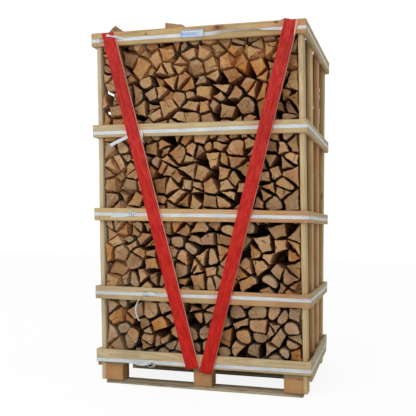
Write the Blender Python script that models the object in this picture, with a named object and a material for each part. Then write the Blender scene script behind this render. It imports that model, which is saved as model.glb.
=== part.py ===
"""Crate of firewood: a slatted timber cage on a block pallet, filled with split logs.

Frame: metres, +Z up, the front (with the red V) faces -Y. The origin is on the ground,
at the centre of the underside of the pallet's middle runner.
"""

import math

import bmesh
import bpy

# ---- driving dimensions, in metres ----
CAGE_WIDTH = 1.200  # over the outer faces of the side rails
CAGE_DEPTH = 0.950  # over the outer faces of the front and back rails
LEAN_FRONT = 0.0314  # the racked front leans this far towards -X per metre of height
LEAN_BACK = 0.0073  # the back leans less, so the whole crate is a little twisted
GAP = 0.0003  # clearance between touching pieces

FRONT_RAIL_THICKNESS = 0.020
SIDE_RAIL_THICKNESS = 0.022
RAIL_LEVELS = (  # underside and top of each ring of rails: at its left end, at its right end
    ((0.121, 0.194), (0.121, 0.194)),
    ((0.475, 0.548), (0.470, 0.540)),
    ((0.913, 0.985), (0.913, 0.976)),
    ((1.378, 1.448), (1.380, 1.450)),
    ((1.886, 1.961), (1.893, 1.969)),
)
LOWEST_SIDE_RAIL_DROPS = (0.024, 0.034)  # the lowest side rails, left and right, are deeper

SLAT_THICKNESS = 0.025
SLAT_WIDTH = 0.090
SLATS_PER_SIDE = 4
CORNER_SLAT_FOOT = 0.020  # the corner slats stop just above the ground
MIDDLE_SLAT_FOOT = 0.100  # the others end behind the lowest side rail
SLAT_TOP = 1.955

RUNNER_THICKNESS = 0.018
BLOCK_SIZE = 0.100
BLOCK_TOP = 0.098
CENTRE_COLUMN_X = 0.010  # the middle blocks and stringer are nailed a little off centre
STRINGER_TOP = 0.118
DECK_TOP = 0.136
DECK_BOARDS = 5
DECK_BOARD_WIDTH = 0.145

STRAP_THICKNESS = 0.0008
STRAP_WIDTH = 0.018
STRAP_HEIGHTS = (  # middle of each strap: along the left side, along the right side
    (0.132, 0.146),
    (0.509, 0.511),
    (0.950, 0.942),
    (1.401, 1.414),
    (1.915, 1.922),
)

BRACE_THICKNESS = 0.018
BRACES = (  # middle x on the ground, sideways run per metre of height, level width, end heights
    ("left", -0.0042, -0.2502, 0.0755, (0.114, 0.128), (1.951, 1.957)),
    ("right", 0.0096, 0.2635, 0.0740, (0.104, 0.097), (1.966, 1.958)),
)

LABEL_WIDTH = 0.128
LABEL_HEIGHT = 0.041
LABEL_THICKNESS = 0.0006
LABEL_CENTRE = (-0.009, 1.924)

LOG_LENGTH = 0.300
STACK_TOP = 1.952
FRONT_STACK_PEAKS = (  # centre x, half width at the base, half width at the tip, tip height
    (-0.471, 0.060, 0.004, 2.011),
    (-0.129, 0.080, 0.050, 1.989),
    (0.488, 0.040, 0.017, 1.990),
)
MIDDLE_STACK_PEAKS = ((-0.330, 0.060, 0.020, 1.985), (0.210, 0.070, 0.030, 1.978))
BACK_STACK_PEAKS = ((-0.120, 0.050, 0.010, 1.990), (0.350, 0.060, 0.030, 1.982))

# ---- planes that several pieces share ----
SIDE_RAIL_INNER = CAGE_WIDTH / 2 - SIDE_RAIL_THICKNESS
SLAT_OUTER = SIDE_RAIL_INNER - GAP
SLAT_INNER = SLAT_OUTER - SLAT_THICKNESS
PALLET_HALF_WIDTH = SLAT_INNER - GAP
FRONT_RAIL_INNER = CAGE_DEPTH / 2 - FRONT_RAIL_THICKNESS
CAGE_HALF_DEPTH = FRONT_RAIL_INNER - GAP
STRAP_INNER_X = CAGE_WIDTH / 2 + GAP
STRAP_INNER_Y = CAGE_DEPTH / 2 + GAP
STRAP_FRONT = STRAP_INNER_Y + STRAP_THICKNESS

# ---- a twisted body is cut this finely, so that its flat facets stay inside the clearance ----
SLICE_DEPTH = 0.100
SLICE_HEIGHT = 0.160

SIDES = (("left", -1), ("right", 1))
BLOCK_ROWS = (("front", -1), ("middle", 0), ("back", 1))


def clear_scene():
    for existing in list(bpy.data.objects):
        bpy.data.objects.remove(existing, do_unlink=True)


def make_material(name, colour, roughness):
    material = bpy.data.materials.new(name)
    material.use_nodes = True
    surface = material.node_tree.nodes["Principled BSDF"]
    surface.inputs["Base Color"].default_value = (*colour, 1.0)
    surface.inputs["Roughness"].default_value = roughness
    surface.inputs["Metallic"].default_value = 0.0
    return material


def lean_at(y):
    """How far the crate leans towards -X per metre of height, this far back."""
    way_back = 0.5 + y / CAGE_DEPTH
    return LEAN_FRONT + (LEAN_BACK - LEAN_FRONT) * way_back


def cut_into_slices(body, axis, thickest):
    """Cut a body across one axis into equal slices, none thicker than asked."""
    places = [corner.co[axis] for corner in body.verts]
    low, high = min(places), max(places)
    slices = math.ceil((high - low) / thickest)
    direction = [float(way == axis) for way in range(3)]
    for number in range(1, slices):
        height = low + (high - low) * number / slices
        point = [height * part for part in direction]
        everything = body.verts[:] + body.edges[:] + body.faces[:]
        bmesh.ops.bisect_plane(body, geom=everything, plane_co=point, plane_no=direction)


def finish_object(name, body, material):
    """Lean and twist the body as the crate stands, then put it in the scene by name."""
    cut_into_slices(body, 1, SLICE_DEPTH)
    cut_into_slices(body, 2, SLICE_HEIGHT)
    for corner in body.verts:
        corner.co.x -= lean_at(corner.co.y) * corner.co.z
    bmesh.ops.triangulate(body, faces=body.faces)
    bmesh.ops.recalc_face_normals(body, faces=body.faces)
    mesh = bpy.data.meshes.new(name)
    body.to_mesh(mesh)
    body.free()
    mesh.materials.append(material)
    piece = bpy.data.objects.new(name, mesh)
    bpy.context.scene.collection.objects.link(piece)
    return piece


def prism(name, outline, y_low, y_high, material):
    """Extrude an outline of (x, z) points along Y into one closed solid."""
    body = bmesh.new()
    ring = [body.verts.new((x, y_low, z)) for x, z in outline]
    face = body.faces.new(ring)
    extruded = bmesh.ops.extrude_face_region(body, geom=[face])
    moved = [item for item in extruded["geom"] if isinstance(item, bmesh.types.BMVert)]
    bmesh.ops.translate(body, verts=moved, vec=(0.0, y_high - y_low, 0.0))
    return finish_object(name, body, material)


def board(name, x_span, y_span, z_span, material):
    """A sawn board or block between two corners."""
    (x0, x1), (y0, y1), (z0, z1) = x_span, y_span, z_span
    outline = ((x0, z0), (x1, z0), (x1, z1), (x0, z1))
    return prism(name, outline, y0, y1, material)


def span(centre, width):
    return (centre - width / 2, centre + width / 2)


def build_pallet(pine, block_wood):
    full_x = (-PALLET_HALF_WIDTH, PALLET_HALF_WIDTH)
    full_y = (-CAGE_HALF_DEPTH, CAGE_HALF_DEPTH)
    side_column_x = PALLET_HALF_WIDTH - BLOCK_SIZE / 2
    block_columns = (("left", -side_column_x), ("centre", CENTRE_COLUMN_X), ("right", side_column_x))
    row_step = CAGE_HALF_DEPTH - BLOCK_SIZE / 2

    for row, row_sign in BLOCK_ROWS:
        y_span = span(row_sign * row_step, BLOCK_SIZE)
        board(f"runner_{row}", full_x, y_span, (0.0, RUNNER_THICKNESS), pine)
        for column, column_x in block_columns:
            x_span = span(column_x, BLOCK_SIZE)
            z_span = (RUNNER_THICKNESS + GAP, BLOCK_TOP)
            board(f"block_{column}_{row}", x_span, y_span, z_span, block_wood)

    for column, column_x in block_columns:
        x_span = span(column_x, BLOCK_SIZE)
        board(f"stringer_{column}", x_span, full_y, (BLOCK_TOP + GAP, STRINGER_TOP), pine)

    deck_step = (2 * CAGE_HALF_DEPTH - DECK_BOARD_WIDTH) / (DECK_BOARDS - 1)
    for number in range(DECK_BOARDS):
        y_low = -CAGE_HALF_DEPTH + number * deck_step
        y_span = (y_low, y_low + DECK_BOARD_WIDTH)
        board(f"deck_board_{number + 1}", full_x, y_span, (STRINGER_TOP + GAP, DECK_TOP), pine)


def build_slats(pine):
    step = (2 * CAGE_HALF_DEPTH - SLAT_WIDTH) / (SLATS_PER_SIDE - 1)
    for side, sign in SIDES:
        x_span = sorted((sign * SLAT_INNER, sign * SLAT_OUTER))
        for number in range(SLATS_PER_SIDE):
            y_low = -CAGE_HALF_DEPTH + number * step
            is_corner = number in (0, SLATS_PER_SIDE - 1)
            foot = CORNER_SLAT_FOOT if is_corner else MIDDLE_SLAT_FOOT
            y_span = (y_low, y_low + SLAT_WIDTH)
            board(f"slat_{side}_{number + 1}", x_span, y_span, (foot, SLAT_TOP), pine)


def build_rails(pine):
    """Five rings of rails: the front and back ones slant with their ring, the side ones are level."""
    half = CAGE_WIDTH / 2
    for number, (left, right) in enumerate(RAIL_LEVELS, start=1):
        outline = ((-half, left[0]), (half, right[0]), (half, right[1]), (-half, left[1]))
        prism(f"front_rail_{number}", outline, -CAGE_DEPTH / 2, -FRONT_RAIL_INNER, pine)
        prism(f"back_rail_{number}", outline, FRONT_RAIL_INNER, CAGE_DEPTH / 2, pine)
        drops = LOWEST_SIDE_RAIL_DROPS if number == 1 else (0.0, 0.0)
        for (side, sign), (low, high), drop in zip(SIDES, (left, right), drops):
            x_span = sorted((sign * SIDE_RAIL_INNER, sign * half))
            y_span = (-CAGE_HALF_DEPTH, CAGE_HALF_DEPTH)
            board(f"side_rail_{side}_{number}", x_span, y_span, (low - drop, high), pine)


def build_straps(plastic):
    """Each strap is one taut band round the cage, outside a ring of rails."""
    corners = ((-1, -1), (1, -1), (1, 1), (-1, 1))
    half_width = STRAP_WIDTH / 2
    section = (  # the strap's four long edges: outset from the rails, height from the middle
        (0.0, -half_width),
        (STRAP_THICKNESS, -half_width),
        (STRAP_THICKNESS, half_width),
        (0.0, half_width),
    )
    for number, (left_height, right_height) in enumerate(STRAP_HEIGHTS, start=1):
        body = bmesh.new()
        loops = []
        for outset, above in section:
            loop = []
            for x_sign, y_sign in corners:
                x = x_sign * (STRAP_INNER_X + outset)
                y = y_sign * (STRAP_INNER_Y + outset)
                z = (right_height if x_sign > 0 else left_height) + above
                loop.append(body.verts.new((x, y, z)))
            loops.append(loop)
        for ring, next_ring in zip(loops, loops[1:] + loops[:1]):
            for start in range(4):
                end = (start + 1) % 4
                body.faces.new((ring[start], ring[end], next_ring[end], next_ring[start]))
        finish_object(f"strap_{number}", body, plastic)


def build_braces(red_paint):
    """Two slanted boards nailed over the front rails and straps, in a V."""
    back = -(STRAP_FRONT + GAP)
    front = back - BRACE_THICKNESS
    for side, ground_x, run, width, (foot_left, foot_right), (top_left, top_right) in BRACES:
        half = width / 2
        outline = (
            (ground_x + run * foot_left - half, foot_left),
            (ground_x + run * foot_right + half, foot_right),
            (ground_x + run * top_right + half, top_right),
            (ground_x + run * top_left - half, top_left),
        )
        prism(f"brace_{side}", outline, front, back, red_paint)


def build_label(paper):
    back = -(STRAP_FRONT + GAP)
    x_span = span(LABEL_CENTRE[0], LABEL_WIDTH)
    z_span = span(LABEL_CENTRE[1], LABEL_HEIGHT)
    board("label", x_span, (back - LABEL_THICKNESS, back), z_span, paper)


def stack_outline(peaks):
    """Front view of one rank of logs: a level top with the highest logs standing out of it."""
    half = PALLET_HALF_WIDTH
    top_line = [(-half, STACK_TOP)]
    for centre, base_half, tip_half, tip_height in peaks:
        top_line.append((centre - base_half, STACK_TOP))
        top_line.append((centre - tip_half, tip_height))
        top_line.append((centre + tip_half, tip_height))
        top_line.append((centre + base_half, STACK_TOP))
    top_line.append((half, STACK_TOP))
    bottom = DECK_TOP + GAP
    return [(-half, bottom), (half, bottom)] + top_line[::-1]


def build_firewood(log_wood):
    """Three ranks of logs, one behind the other, each rank one log long."""
    ranks = (
        ("front", -1, FRONT_STACK_PEAKS),
        ("middle", 0, MIDDLE_STACK_PEAKS),
        ("back", 1, BACK_STACK_PEAKS),
    )
    rank_step = CAGE_HALF_DEPTH - LOG_LENGTH / 2
    for name, sign, peaks in ranks:
        y_low, y_high = span(sign * rank_step, LOG_LENGTH)
        prism(f"firewood_{name}", stack_outline(peaks), y_low, y_high, log_wood)


def main():
    clear_scene()
    pine = make_material("pale_pine", (0.60, 0.47, 0.27), 0.75)
    block_wood = make_material("block_wood", (0.50, 0.31, 0.16), 0.80)
    red_paint = make_material("red_paint", (0.62, 0.035, 0.03), 0.60)
    plastic = make_material("white_strap", (0.80, 0.86, 0.90), 0.35)
    paper = make_material("label_paper", (0.72, 0.80, 0.85), 0.60)
    log_wood = make_material("firewood", (0.45, 0.27, 0.13), 0.85)

    build_pallet(pine, block_wood)
    build_slats(pine)
    build_rails(pine)
    build_straps(plastic)
    build_braces(red_paint)
    build_label(paper)
    build_firewood(log_wood)


main()
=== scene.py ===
# %% [markdown]
# # A crate of firewood
# The real object is a slatted timber cage on a block pallet. Rails, slats, plastic bands and
# two red boards hold about twelve hundred split logs in three ranks, one behind the other.
# The sizes come from a finished CAD frame. It is opened first, and every piece is then built
# into the space that its CAD solid holds, so nothing here has to be fitted by eye.

import math
from collections import namedtuple

import bpy
import numpy as np
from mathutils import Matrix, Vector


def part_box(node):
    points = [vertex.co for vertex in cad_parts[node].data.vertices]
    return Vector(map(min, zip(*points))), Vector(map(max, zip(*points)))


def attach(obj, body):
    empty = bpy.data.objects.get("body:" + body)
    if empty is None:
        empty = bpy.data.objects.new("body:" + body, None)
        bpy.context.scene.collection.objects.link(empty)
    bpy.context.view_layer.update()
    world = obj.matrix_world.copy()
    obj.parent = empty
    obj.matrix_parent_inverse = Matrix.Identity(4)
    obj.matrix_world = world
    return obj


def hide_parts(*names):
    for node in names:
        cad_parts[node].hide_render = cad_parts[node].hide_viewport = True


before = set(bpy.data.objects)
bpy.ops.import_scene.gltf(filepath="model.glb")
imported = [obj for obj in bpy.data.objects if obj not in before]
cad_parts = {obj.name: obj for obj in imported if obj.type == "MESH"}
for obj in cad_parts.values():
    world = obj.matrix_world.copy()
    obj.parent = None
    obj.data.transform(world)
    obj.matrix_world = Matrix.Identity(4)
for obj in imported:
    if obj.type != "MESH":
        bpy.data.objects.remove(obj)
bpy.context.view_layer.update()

# %% [markdown]
# The whole crate is racked: every upright leans to the left, the front ones more than the back
# ones, so the cage is a little twisted too. It would be awkward to model each board at a
# slant. So every shape is made upright and square, and its points are slid sideways at the
# end, by an amount that grows with height. How much is read from the lowest and the highest
# rail, at the front and at the back.

# %% Read the lean


def solid_points(node):
    """The corners of a CAD solid, as an array of points."""
    return np.array([vertex.co[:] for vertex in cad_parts[node].data.vertices])


def drift(face, outermost):
    """How far one side of the crate leans per metre, and how far back it stands."""
    lowest, highest = solid_points(f"{face}_rail_1"), solid_points(f"{face}_rail_5")
    foot, top = lowest[outermost(lowest[:, 0])], highest[outermost(highest[:, 0])]
    return (foot[0] - top[0]) / (top[2] - foot[2]), foot[1]


FRONT_LEAN, FRONT_PLANE = drift("front", np.argmin)
BACK_LEAN, BACK_PLANE = drift("back", np.argmax)


def lean_at(y):
    """The lean towards -X per metre of height, this far back."""
    way_back = (y - FRONT_PLANE) / (BACK_PLANE - FRONT_PLANE)
    return FRONT_LEAN + (BACK_LEAN - FRONT_LEAN) * way_back


def leaned(points):
    """The same points after the crate has leaned."""
    moved = np.array(points, float)
    moved[:, 0] -= lean_at(moved[:, 1]) * moved[:, 2]
    return moved


def righted(node):
    """The corners of a CAD solid as they are before the crate leans."""
    points = solid_points(node)
    points[:, 0] += lean_at(points[:, 1]) * points[:, 2]
    return points


def upright_box(node):
    """A CAD solid's lowest and highest corner, as they are before the crate leans."""
    points = righted(node)
    return points.min(0), points.max(0)


leans = [round(lean * 1000, 1) for lean in (FRONT_LEAN, BACK_LEAN)]
print("lean in mm per metre: front and back", leans)

# %% [markdown]
# The camera stands a little right of the crate at about the height of a table, and looks
# slightly to the left. It is almost level, and its lens is shifted up instead, as an
# architect's is, so that uprights stay upright. A camera's rotation is made from three plain
# turns: roll about the line of sight, tilt from looking straight down up to the horizon, and
# turn about the vertical.

# %% Camera
from mathutils import Matrix, Vector

CAMERA_PLACE = (0.9224, -3.8781, 0.8829)
TURN, TILT, ROLL = (math.radians(angle) for angle in (14.651, -0.703, 0.827))
FILM_WIDTH = 36.0
LENS = 56.75
LENS_SHIFT = 0.0659

camera_data = bpy.data.cameras.new("camera")
camera_data.sensor_width = FILM_WIDTH
camera_data.lens = LENS
camera_data.shift_y = LENS_SHIFT
camera = bpy.data.objects.new("camera", camera_data)
bpy.context.scene.collection.objects.link(camera)
camera.matrix_world = (
    Matrix.Translation(CAMERA_PLACE)
    @ Matrix.Rotation(TURN, 4, "Z")
    @ Matrix.Rotation(math.pi / 2 + TILT, 4, "X")
    @ Matrix.Rotation(ROLL, 4, "Z")
)
bpy.context.scene.camera = camera
print("camera at", CAMERA_PLACE, "with a", LENS, "mm lens")

# %% [markdown]
# Node trees get long, so a small helper class keeps them readable. Most of its methods add one
# node, fill its inputs with numbers or join them to other nodes, and hand back the output that
# the next step needs. Shaders count light linearly, while a paint swatch is read as the eye
# sees it, so colours are turned from one into the other where they are mixed.

# %% A helper for shader nodes


class Wiring:
    """Adds nodes to one tree and joins them."""

    def __init__(self, tree):
        self.tree = tree

    def add(self, kind, inputs=None, **settings):
        made = self.tree.nodes.new("ShaderNode" + kind)
        for field, value in settings.items():
            setattr(made, field, value)
        for socket, value in (inputs or {}).items():
            self.give(made.inputs[socket], value)
        return made

    def give(self, socket, value):
        if isinstance(value, bpy.types.NodeSocket):
            self.tree.links.new(value, socket)
        else:
            socket.default_value = value

    def math(self, operation, *values):
        return self.add("Math", dict(enumerate(values)), operation=operation).outputs[0]

    def plus(self, first, second):
        return self.math("ADD", first, second)

    def minus(self, first, second):
        return self.math("SUBTRACT", first, second)

    def times(self, first, second):
        return self.math("MULTIPLY", first, second)

    def larger(self, first, second):
        return self.math("MAXIMUM", first, second)

    def apart(self, first, second):
        return self.math("ABSOLUTE", self.minus(first, second))

    def vector(self, operation, *values):
        return self.add("VectorMath", dict(enumerate(values)), operation=operation).outputs[0]

    def length(self, vector):
        return self.add("VectorMath", {0: vector}, operation="LENGTH").outputs["Value"]

    def split(self, vector):
        return self.add("SeparateXYZ", {0: vector}).outputs

    def mix(self, share, *colours):
        """Between two colours, each an output or three readings from a paint swatch."""
        first, second = (swatch(*c) if isinstance(c, tuple) else c for c in colours)
        return self.add("Mix", {0: share, 6: first, 7: second}, data_type="RGBA").outputs[2]

    def stained(self, colour, *layers):
        """A colour under others. A layer is where it lies, how strong it is, and its colour."""
        for mask, share, over in layers:
            colour = self.mix(self.times(mask, share), colour, over)
        return colour

    def noise(self, place, scale=1.0, detail=2.0, roughness=0.5):
        inputs = {"Vector": place, "Scale": scale, "Detail": detail, "Roughness": roughness}
        return self.add("TexNoise", inputs).outputs[0]

    def streaks(self, place, scales, detail=2.0, roughness=0.5):
        """Noise that has its own scale along each axis."""
        return self.noise(self.vector("MULTIPLY", place, scales), 1.0, detail, roughness)

    def between(self, value, low, high, at_low=0.0, at_high=1.0):
        """0 below low, 1 above high, and a smooth step between."""
        inputs = {0: value, 1: low, 2: high, 3: at_low, 4: at_high}
        return self.add("MapRange", inputs, interpolation_type="SMOOTHSTEP").outputs[0]

    def attribute(self, name):
        return self.add("Attribute", attribute_name=name).outputs["Vector"]

    def place(self):
        return self.add("TexCoord").outputs["Object"]

    def coordinates(self):
        """A piece's own grain and look, and the place in the crate."""
        return self.attribute("grain"), self.attribute("look"), self.place()

    def group(self, tree, inputs):
        return self.add("Group", inputs, node_tree=tree).outputs


def swatch(red, green, blue):
    """A colour as read from a paint swatch, 0 to 255, turned into the linear light of shaders."""
    shares = np.array((red, green, blue)) / 255
    linear = np.where(shares <= 0.04045, shares / 12.92, ((shares + 0.055) / 1.055) ** 2.4)
    return (*linear, 1.0)


print("helper ready; mid grey is", round(swatch(128, 128, 128)[0], 3), "in linear light")

# %% [markdown]
# The floor is a plain pale sheet. Under a stack this tall the floor would go dark, so part of
# its white is shown to the camera only, and the rest takes the soft shadow.

# %% Floor
FLOOR_SIZE = 30.0
FLOOR_GREY = 0.90
FLOOR_GLOW = 1.08
GLOW_SEEN = 0.82
scene = bpy.context.scene
scene.view_settings.view_transform = "Standard"

floor_mesh = bpy.data.meshes.new("floor")
half = FLOOR_SIZE / 2
floor_corners = [(-half, -half, 0), (half, -half, 0), (half, half, 0), (-half, half, 0)]
floor_mesh.from_pydata(floor_corners, [], [(0, 1, 2, 3)])
floor = bpy.data.objects.new("floor", floor_mesh)
scene.collection.objects.link(floor)

floor_paint = bpy.data.materials.new("floor_paint")
floor_paint.use_nodes = True
floor_paint.node_tree.nodes.clear()
nodes = Wiring(floor_paint.node_tree)
lit = nodes.add("BsdfDiffuse", {"Color": (FLOOR_GREY, FLOOR_GREY, FLOOR_GREY, 1)}).outputs[0]
seen = nodes.add("Emission", {"Color": (1, 1, 1, 1), "Strength": FLOOR_GLOW}).outputs[0]
to_camera = nodes.times(nodes.add("LightPath").outputs["Is Camera Ray"], GLOW_SEEN)
both = nodes.add("MixShader", {0: to_camera, 1: lit, 2: seen}).outputs[0]
nodes.add("OutputMaterial", {"Surface": both})
floor_mesh.materials.append(floor_paint)
print("floor:", FLOOR_SIZE, "m wide")

# %% [markdown]
# The light is a white sky with one large soft panel high on the left, which leaves the crate's
# right side a little darker than its front. The sky that the camera sees is brighter than the
# sky that lights the crate, so the backdrop stays white.

# %% Light
SKY_LIGHT, SKY_SEEN = 0.60, 1.05

world = bpy.data.worlds.new("studio")
world.use_nodes = True
scene.world = world
nodes = Wiring(world.node_tree)
sky = world.node_tree.nodes["Background"]
sky.inputs["Color"].default_value = (1, 1, 1, 1)
seen_sky = nodes.add("LightPath").outputs["Is Camera Ray"]
nodes.give(sky.inputs["Strength"], nodes.between(seen_sky, 0.0, 1.0, SKY_LIGHT, SKY_SEEN))


def add_panel(name, place, target, size, power):
    """A square soft light that faces a point."""
    light = bpy.data.lights.new(name, "AREA")
    light.size = size
    light.energy = power
    panel = bpy.data.objects.new(name, light)
    scene.collection.objects.link(panel)
    panel.location = place
    panel.rotation_euler = (Vector(target) - Vector(place)).to_track_quat("-Z", "Y").to_euler()
    return panel


panel = add_panel("key_panel", (-1.6, -6.0, 3.4), (0, 0, 1.0), size=3.0, power=110)
print("light: one white sky, and one soft panel of", panel.data.energy, "watts")

# %% [markdown]
# Several finishes share the same effects, so each effect becomes a node group: one small tree
# with named inputs and outputs, built once and placed wherever it is needed. A group here
# gives back only masks, colours and heights, never a shader.

# %% A helper for node groups


def new_group(name, inputs, outputs):
    """An empty group: its nodes, the sockets that come in, and those that go out.

    The default of an input tells its kind: a number, a vector, or a colour of four numbers.
    """
    tree = bpy.data.node_groups.new(name, "ShaderNodeTree")
    for label, default in inputs.items():
        kind = "Float" if isinstance(default, float) else ("Vector", "Color")[len(default) - 3]
        socket = tree.interface.new_socket(label, in_out="INPUT", socket_type="NodeSocket" + kind)
        socket.default_value = default
    for label, kind in outputs.items():
        tree.interface.new_socket(label, in_out="OUTPUT", socket_type="NodeSocket" + kind)
    entry = tree.nodes.new("NodeGroupInput").outputs
    leaving = tree.nodes.new("NodeGroupOutput").inputs
    return Wiring(tree), entry, leaving


def report(label, tree):
    """Say how many nodes a finish or an effect took."""
    print(f"{label}: {len(tree.nodes)} nodes")


# %% [markdown]
# Timber shows one pattern in many ways. A trunk is a bundle of cylinders, one per year, round
# a line called the pith. A board's face cuts them lengthwise and shows arches and stripes; its
# end cuts them across and shows arcs. If each piece carries its own coordinates, measured from
# its pith, one group draws all of these. Knots are stretched cells that push the rings aside.

# %% Timber figure
figure_inputs = {"Grain": (0, 0, 0), "Ring Width": 0.004, "Wander": 0.006, "Knottiness": 0.5}
figure_outputs = {"Rings": "Float", "Fibres": "Float", "Knots": "Float", "Relief": "Float"}
nodes, given, result = new_group("timber figure", figure_inputs, figure_outputs)
timber_figure = nodes.tree

wander = nodes.streaks(given["Grain"], (1.4, 9.0, 9.0))
cell_place = nodes.vector("MULTIPLY", given["Grain"], (3.6, 12.0, 12.0))
cells = nodes.add("TexVoronoi", {"Vector": cell_place, "Scale": 1.0}).outputs
chosen = nodes.minus(given["Knottiness"], nodes.split(cells["Color"])[0])
chosen = nodes.between(chosen, 0.0, 0.02)
knot = nodes.times(nodes.between(cells["Distance"], 0.13, 0.07), chosen)
swell = nodes.times(nodes.between(cells["Distance"], 0.42, 0.05), chosen)

parts = nodes.split(given["Grain"])
squares = [nodes.math("POWER", part, 2.0) for part in parts[1:]]
radius = nodes.math("SQRT", nodes.plus(*squares))
radius = nodes.plus(radius, nodes.times(wander, given["Wander"]))
radius = nodes.plus(radius, nodes.times(swell, 0.010))
year = nodes.math("FRACT", nodes.math("DIVIDE", radius, given["Ring Width"]))
rings = nodes.times(nodes.between(year, 0.30, 0.88), nodes.between(year, 1.0, 0.90))
fibres = nodes.streaks(given["Grain"], (9.0, 260.0, 260.0), 3.0)
relief = nodes.plus(nodes.times(rings, 0.45), fibres)
nodes.give(result["Rings"], rings)
nodes.give(result["Fibres"], fibres)
nodes.give(result["Knots"], knot)
nodes.give(result["Relief"], nodes.minus(relief, nodes.times(knot, 0.6)))
report("timber figure", timber_figure)

# %% [markdown]
# No two boards have quite the same colour, and no board has one colour all over. Each piece
# carries three numbers of its own: how light it is, how warm, and how weathered. This group
# turns them, with some slow cloudy noise, into the final colour. Weathering pulls the colour
# towards a dry grey.

# %% Tone of a piece
tone_inputs = {
    "Colour": (0.5, 0.5, 0.5, 1),
    "Look": (0.5, 0.5, 0.0),
    "Place": (0, 0, 0),
    "Contrast": 0.5,
    "Clouds": 0.3,
}
nodes, given, result = new_group("tone of a piece", tone_inputs, {"Colour": "Color"})
tone_of_a_piece = nodes.tree

look = nodes.split(given["Look"])
cloud = nodes.minus(nodes.noise(given["Place"], 6.0, 3.0), 0.5)
lightness = nodes.times(nodes.minus(look[0], 0.5), given["Contrast"])
lightness = nodes.plus(lightness, nodes.times(cloud, given["Clouds"]))
toned = nodes.add(
    "HueSaturation",
    {
        "Hue": nodes.plus(0.5, nodes.times(cloud, 0.03)),
        "Saturation": nodes.minus(1.0, nodes.times(cloud, 0.35)),
        "Value": nodes.plus(1.0, lightness),
        "Color": given["Colour"],
    },
).outputs[0]
aged = nodes.stained(toned, (look[2], 0.8, (176, 168, 148)))
nodes.give(result["Colour"], aged)
report("tone of a piece", tone_of_a_piece)

# %% [markdown]
# Everything in a timber yard picks up marks: soft dirty patches, short scuffs along the
# grain, and tiny dark specks. One group gives the three as separate masks.

# %% Handling marks
marks_inputs = {"Grain": (0, 0, 0), "Place": (0, 0, 0)}
marks_outputs = {"Grime": "Float", "Scuffs": "Float", "Specks": "Float"}
nodes, given, result = new_group("handling marks", marks_inputs, marks_outputs)
handling_marks = nodes.tree

patches = nodes.noise(given["Place"], 3.5, 4.0, 0.6)
scratches = nodes.streaks(given["Grain"], (14.0, 120.0, 120.0))
dots = nodes.noise(given["Place"], 190.0, 1.0)
nodes.give(result["Grime"], nodes.between(patches, 0.46, 0.72))
nodes.give(result["Scuffs"], nodes.between(scratches, 0.60, 0.72))
nodes.give(result["Specks"], nodes.between(dots, 0.72, 0.80))
report("handling marks", handling_marks)

# %% [markdown]
# Ends get knocked first. Each mesh marks the rims of its ends with the attribute arris, 1 on
# the rim and 0 elsewhere. This group breaks that clean strip up with noise, so that the wear
# is ragged, as it is on real timber.

# %% Worn arris
arris_inputs = {"Arris": (0, 0, 0), "Place": (0, 0, 0)}
nodes, given, result = new_group("worn arris", arris_inputs, {"Mask": "Float"})
worn_arris = nodes.tree

ragged = nodes.noise(given["Place"], 70.0, 3.0, 0.6)
strip = nodes.minus(nodes.split(given["Arris"])[0], ragged)
nodes.give(result["Mask"], nodes.between(strip, 0.25, 0.60))
report("worn arris", worn_arris)

# %% [markdown]
# A saw leaves fine parallel ridges across whatever it cuts. They are drawn as a sine wave
# along one coordinate, bent by noise and fading in and out.

# %% Saw marks
saw_inputs = {"Along": 0.0, "Place": (0, 0, 0), "Spacing": 0.004}
nodes, given, result = new_group("saw marks", saw_inputs, {"Marks": "Float"})
saw_marks = nodes.tree

bend = nodes.times(nodes.noise(given["Place"], 9.0, 1.0), 0.03)
turns = nodes.math("DIVIDE", nodes.plus(given["Along"], bend), given["Spacing"])
wave = nodes.math("SINE", nodes.times(turns, 2 * math.pi))
fading = nodes.between(nodes.noise(given["Place"], 14.0, 2.0), 0.40, 0.65)
ridges = nodes.times(nodes.plus(wave, 1.0), 0.5)
nodes.give(result["Marks"], nodes.times(ridges, fading))
report("saw marks", saw_marks)

# %% [markdown]
# The two slanted boards were painted where they stand, so a fine pink spray settled on the
# wood and the bands beside them. The group measures how far a place is, sideways, from the
# middle line of each board, and lets noise break the edge up.

# %% Paint overspray
SPRAY_FROM, SPRAY_TO = 0.040, 0.110
nodes, given, result = new_group("paint overspray", {"Place": (0, 0, 0)}, {"Mask": "Float"})
paint_overspray = nodes.tree

place = nodes.split(given["Place"])
near = 0.0
for node in ("brace_left", "brace_right"):
    points = solid_points(node)
    run, ground = np.polyfit(points[:, 2], points[:, 0], 1)
    line = nodes.plus(nodes.times(place[2], run), ground)
    away = nodes.apart(place[0], line)
    near = nodes.larger(near, nodes.between(away, SPRAY_TO, SPRAY_FROM))
speckle = nodes.between(nodes.noise(given["Place"], 110.0, 3.0, 0.6), 0.42, 0.62)
nodes.give(result["Mask"], nodes.times(near, speckle))
report("paint overspray", paint_overspray)

# %% [markdown]
# A material starts with its Principled shader. Plain numbers go straight onto the shader's own
# sockets. Only what changes over the surface is wired: colour, roughness and a bump made from
# a height.

# %% A helper for materials


def new_material(name, **plain):
    """A material's nodes and its Principled shader, with plain numbers set on it."""
    material = bpy.data.materials.new(name)
    material.use_nodes = True
    shader = material.node_tree.nodes["Principled BSDF"]
    for socket, value in plain.items():
        shader.inputs[socket.replace("_", " ")].default_value = value
    return material, Wiring(material.node_tree), shader


def own_tone(nodes, colour, look, place, contrast, clouds):
    """A colour turned into this piece's own by the group that knows its look."""
    known = {"Colour": colour, "Look": look, "Place": place}
    return nodes.group(tone_of_a_piece, {**known, "Contrast": contrast, "Clouds": clouds})[0]


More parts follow.
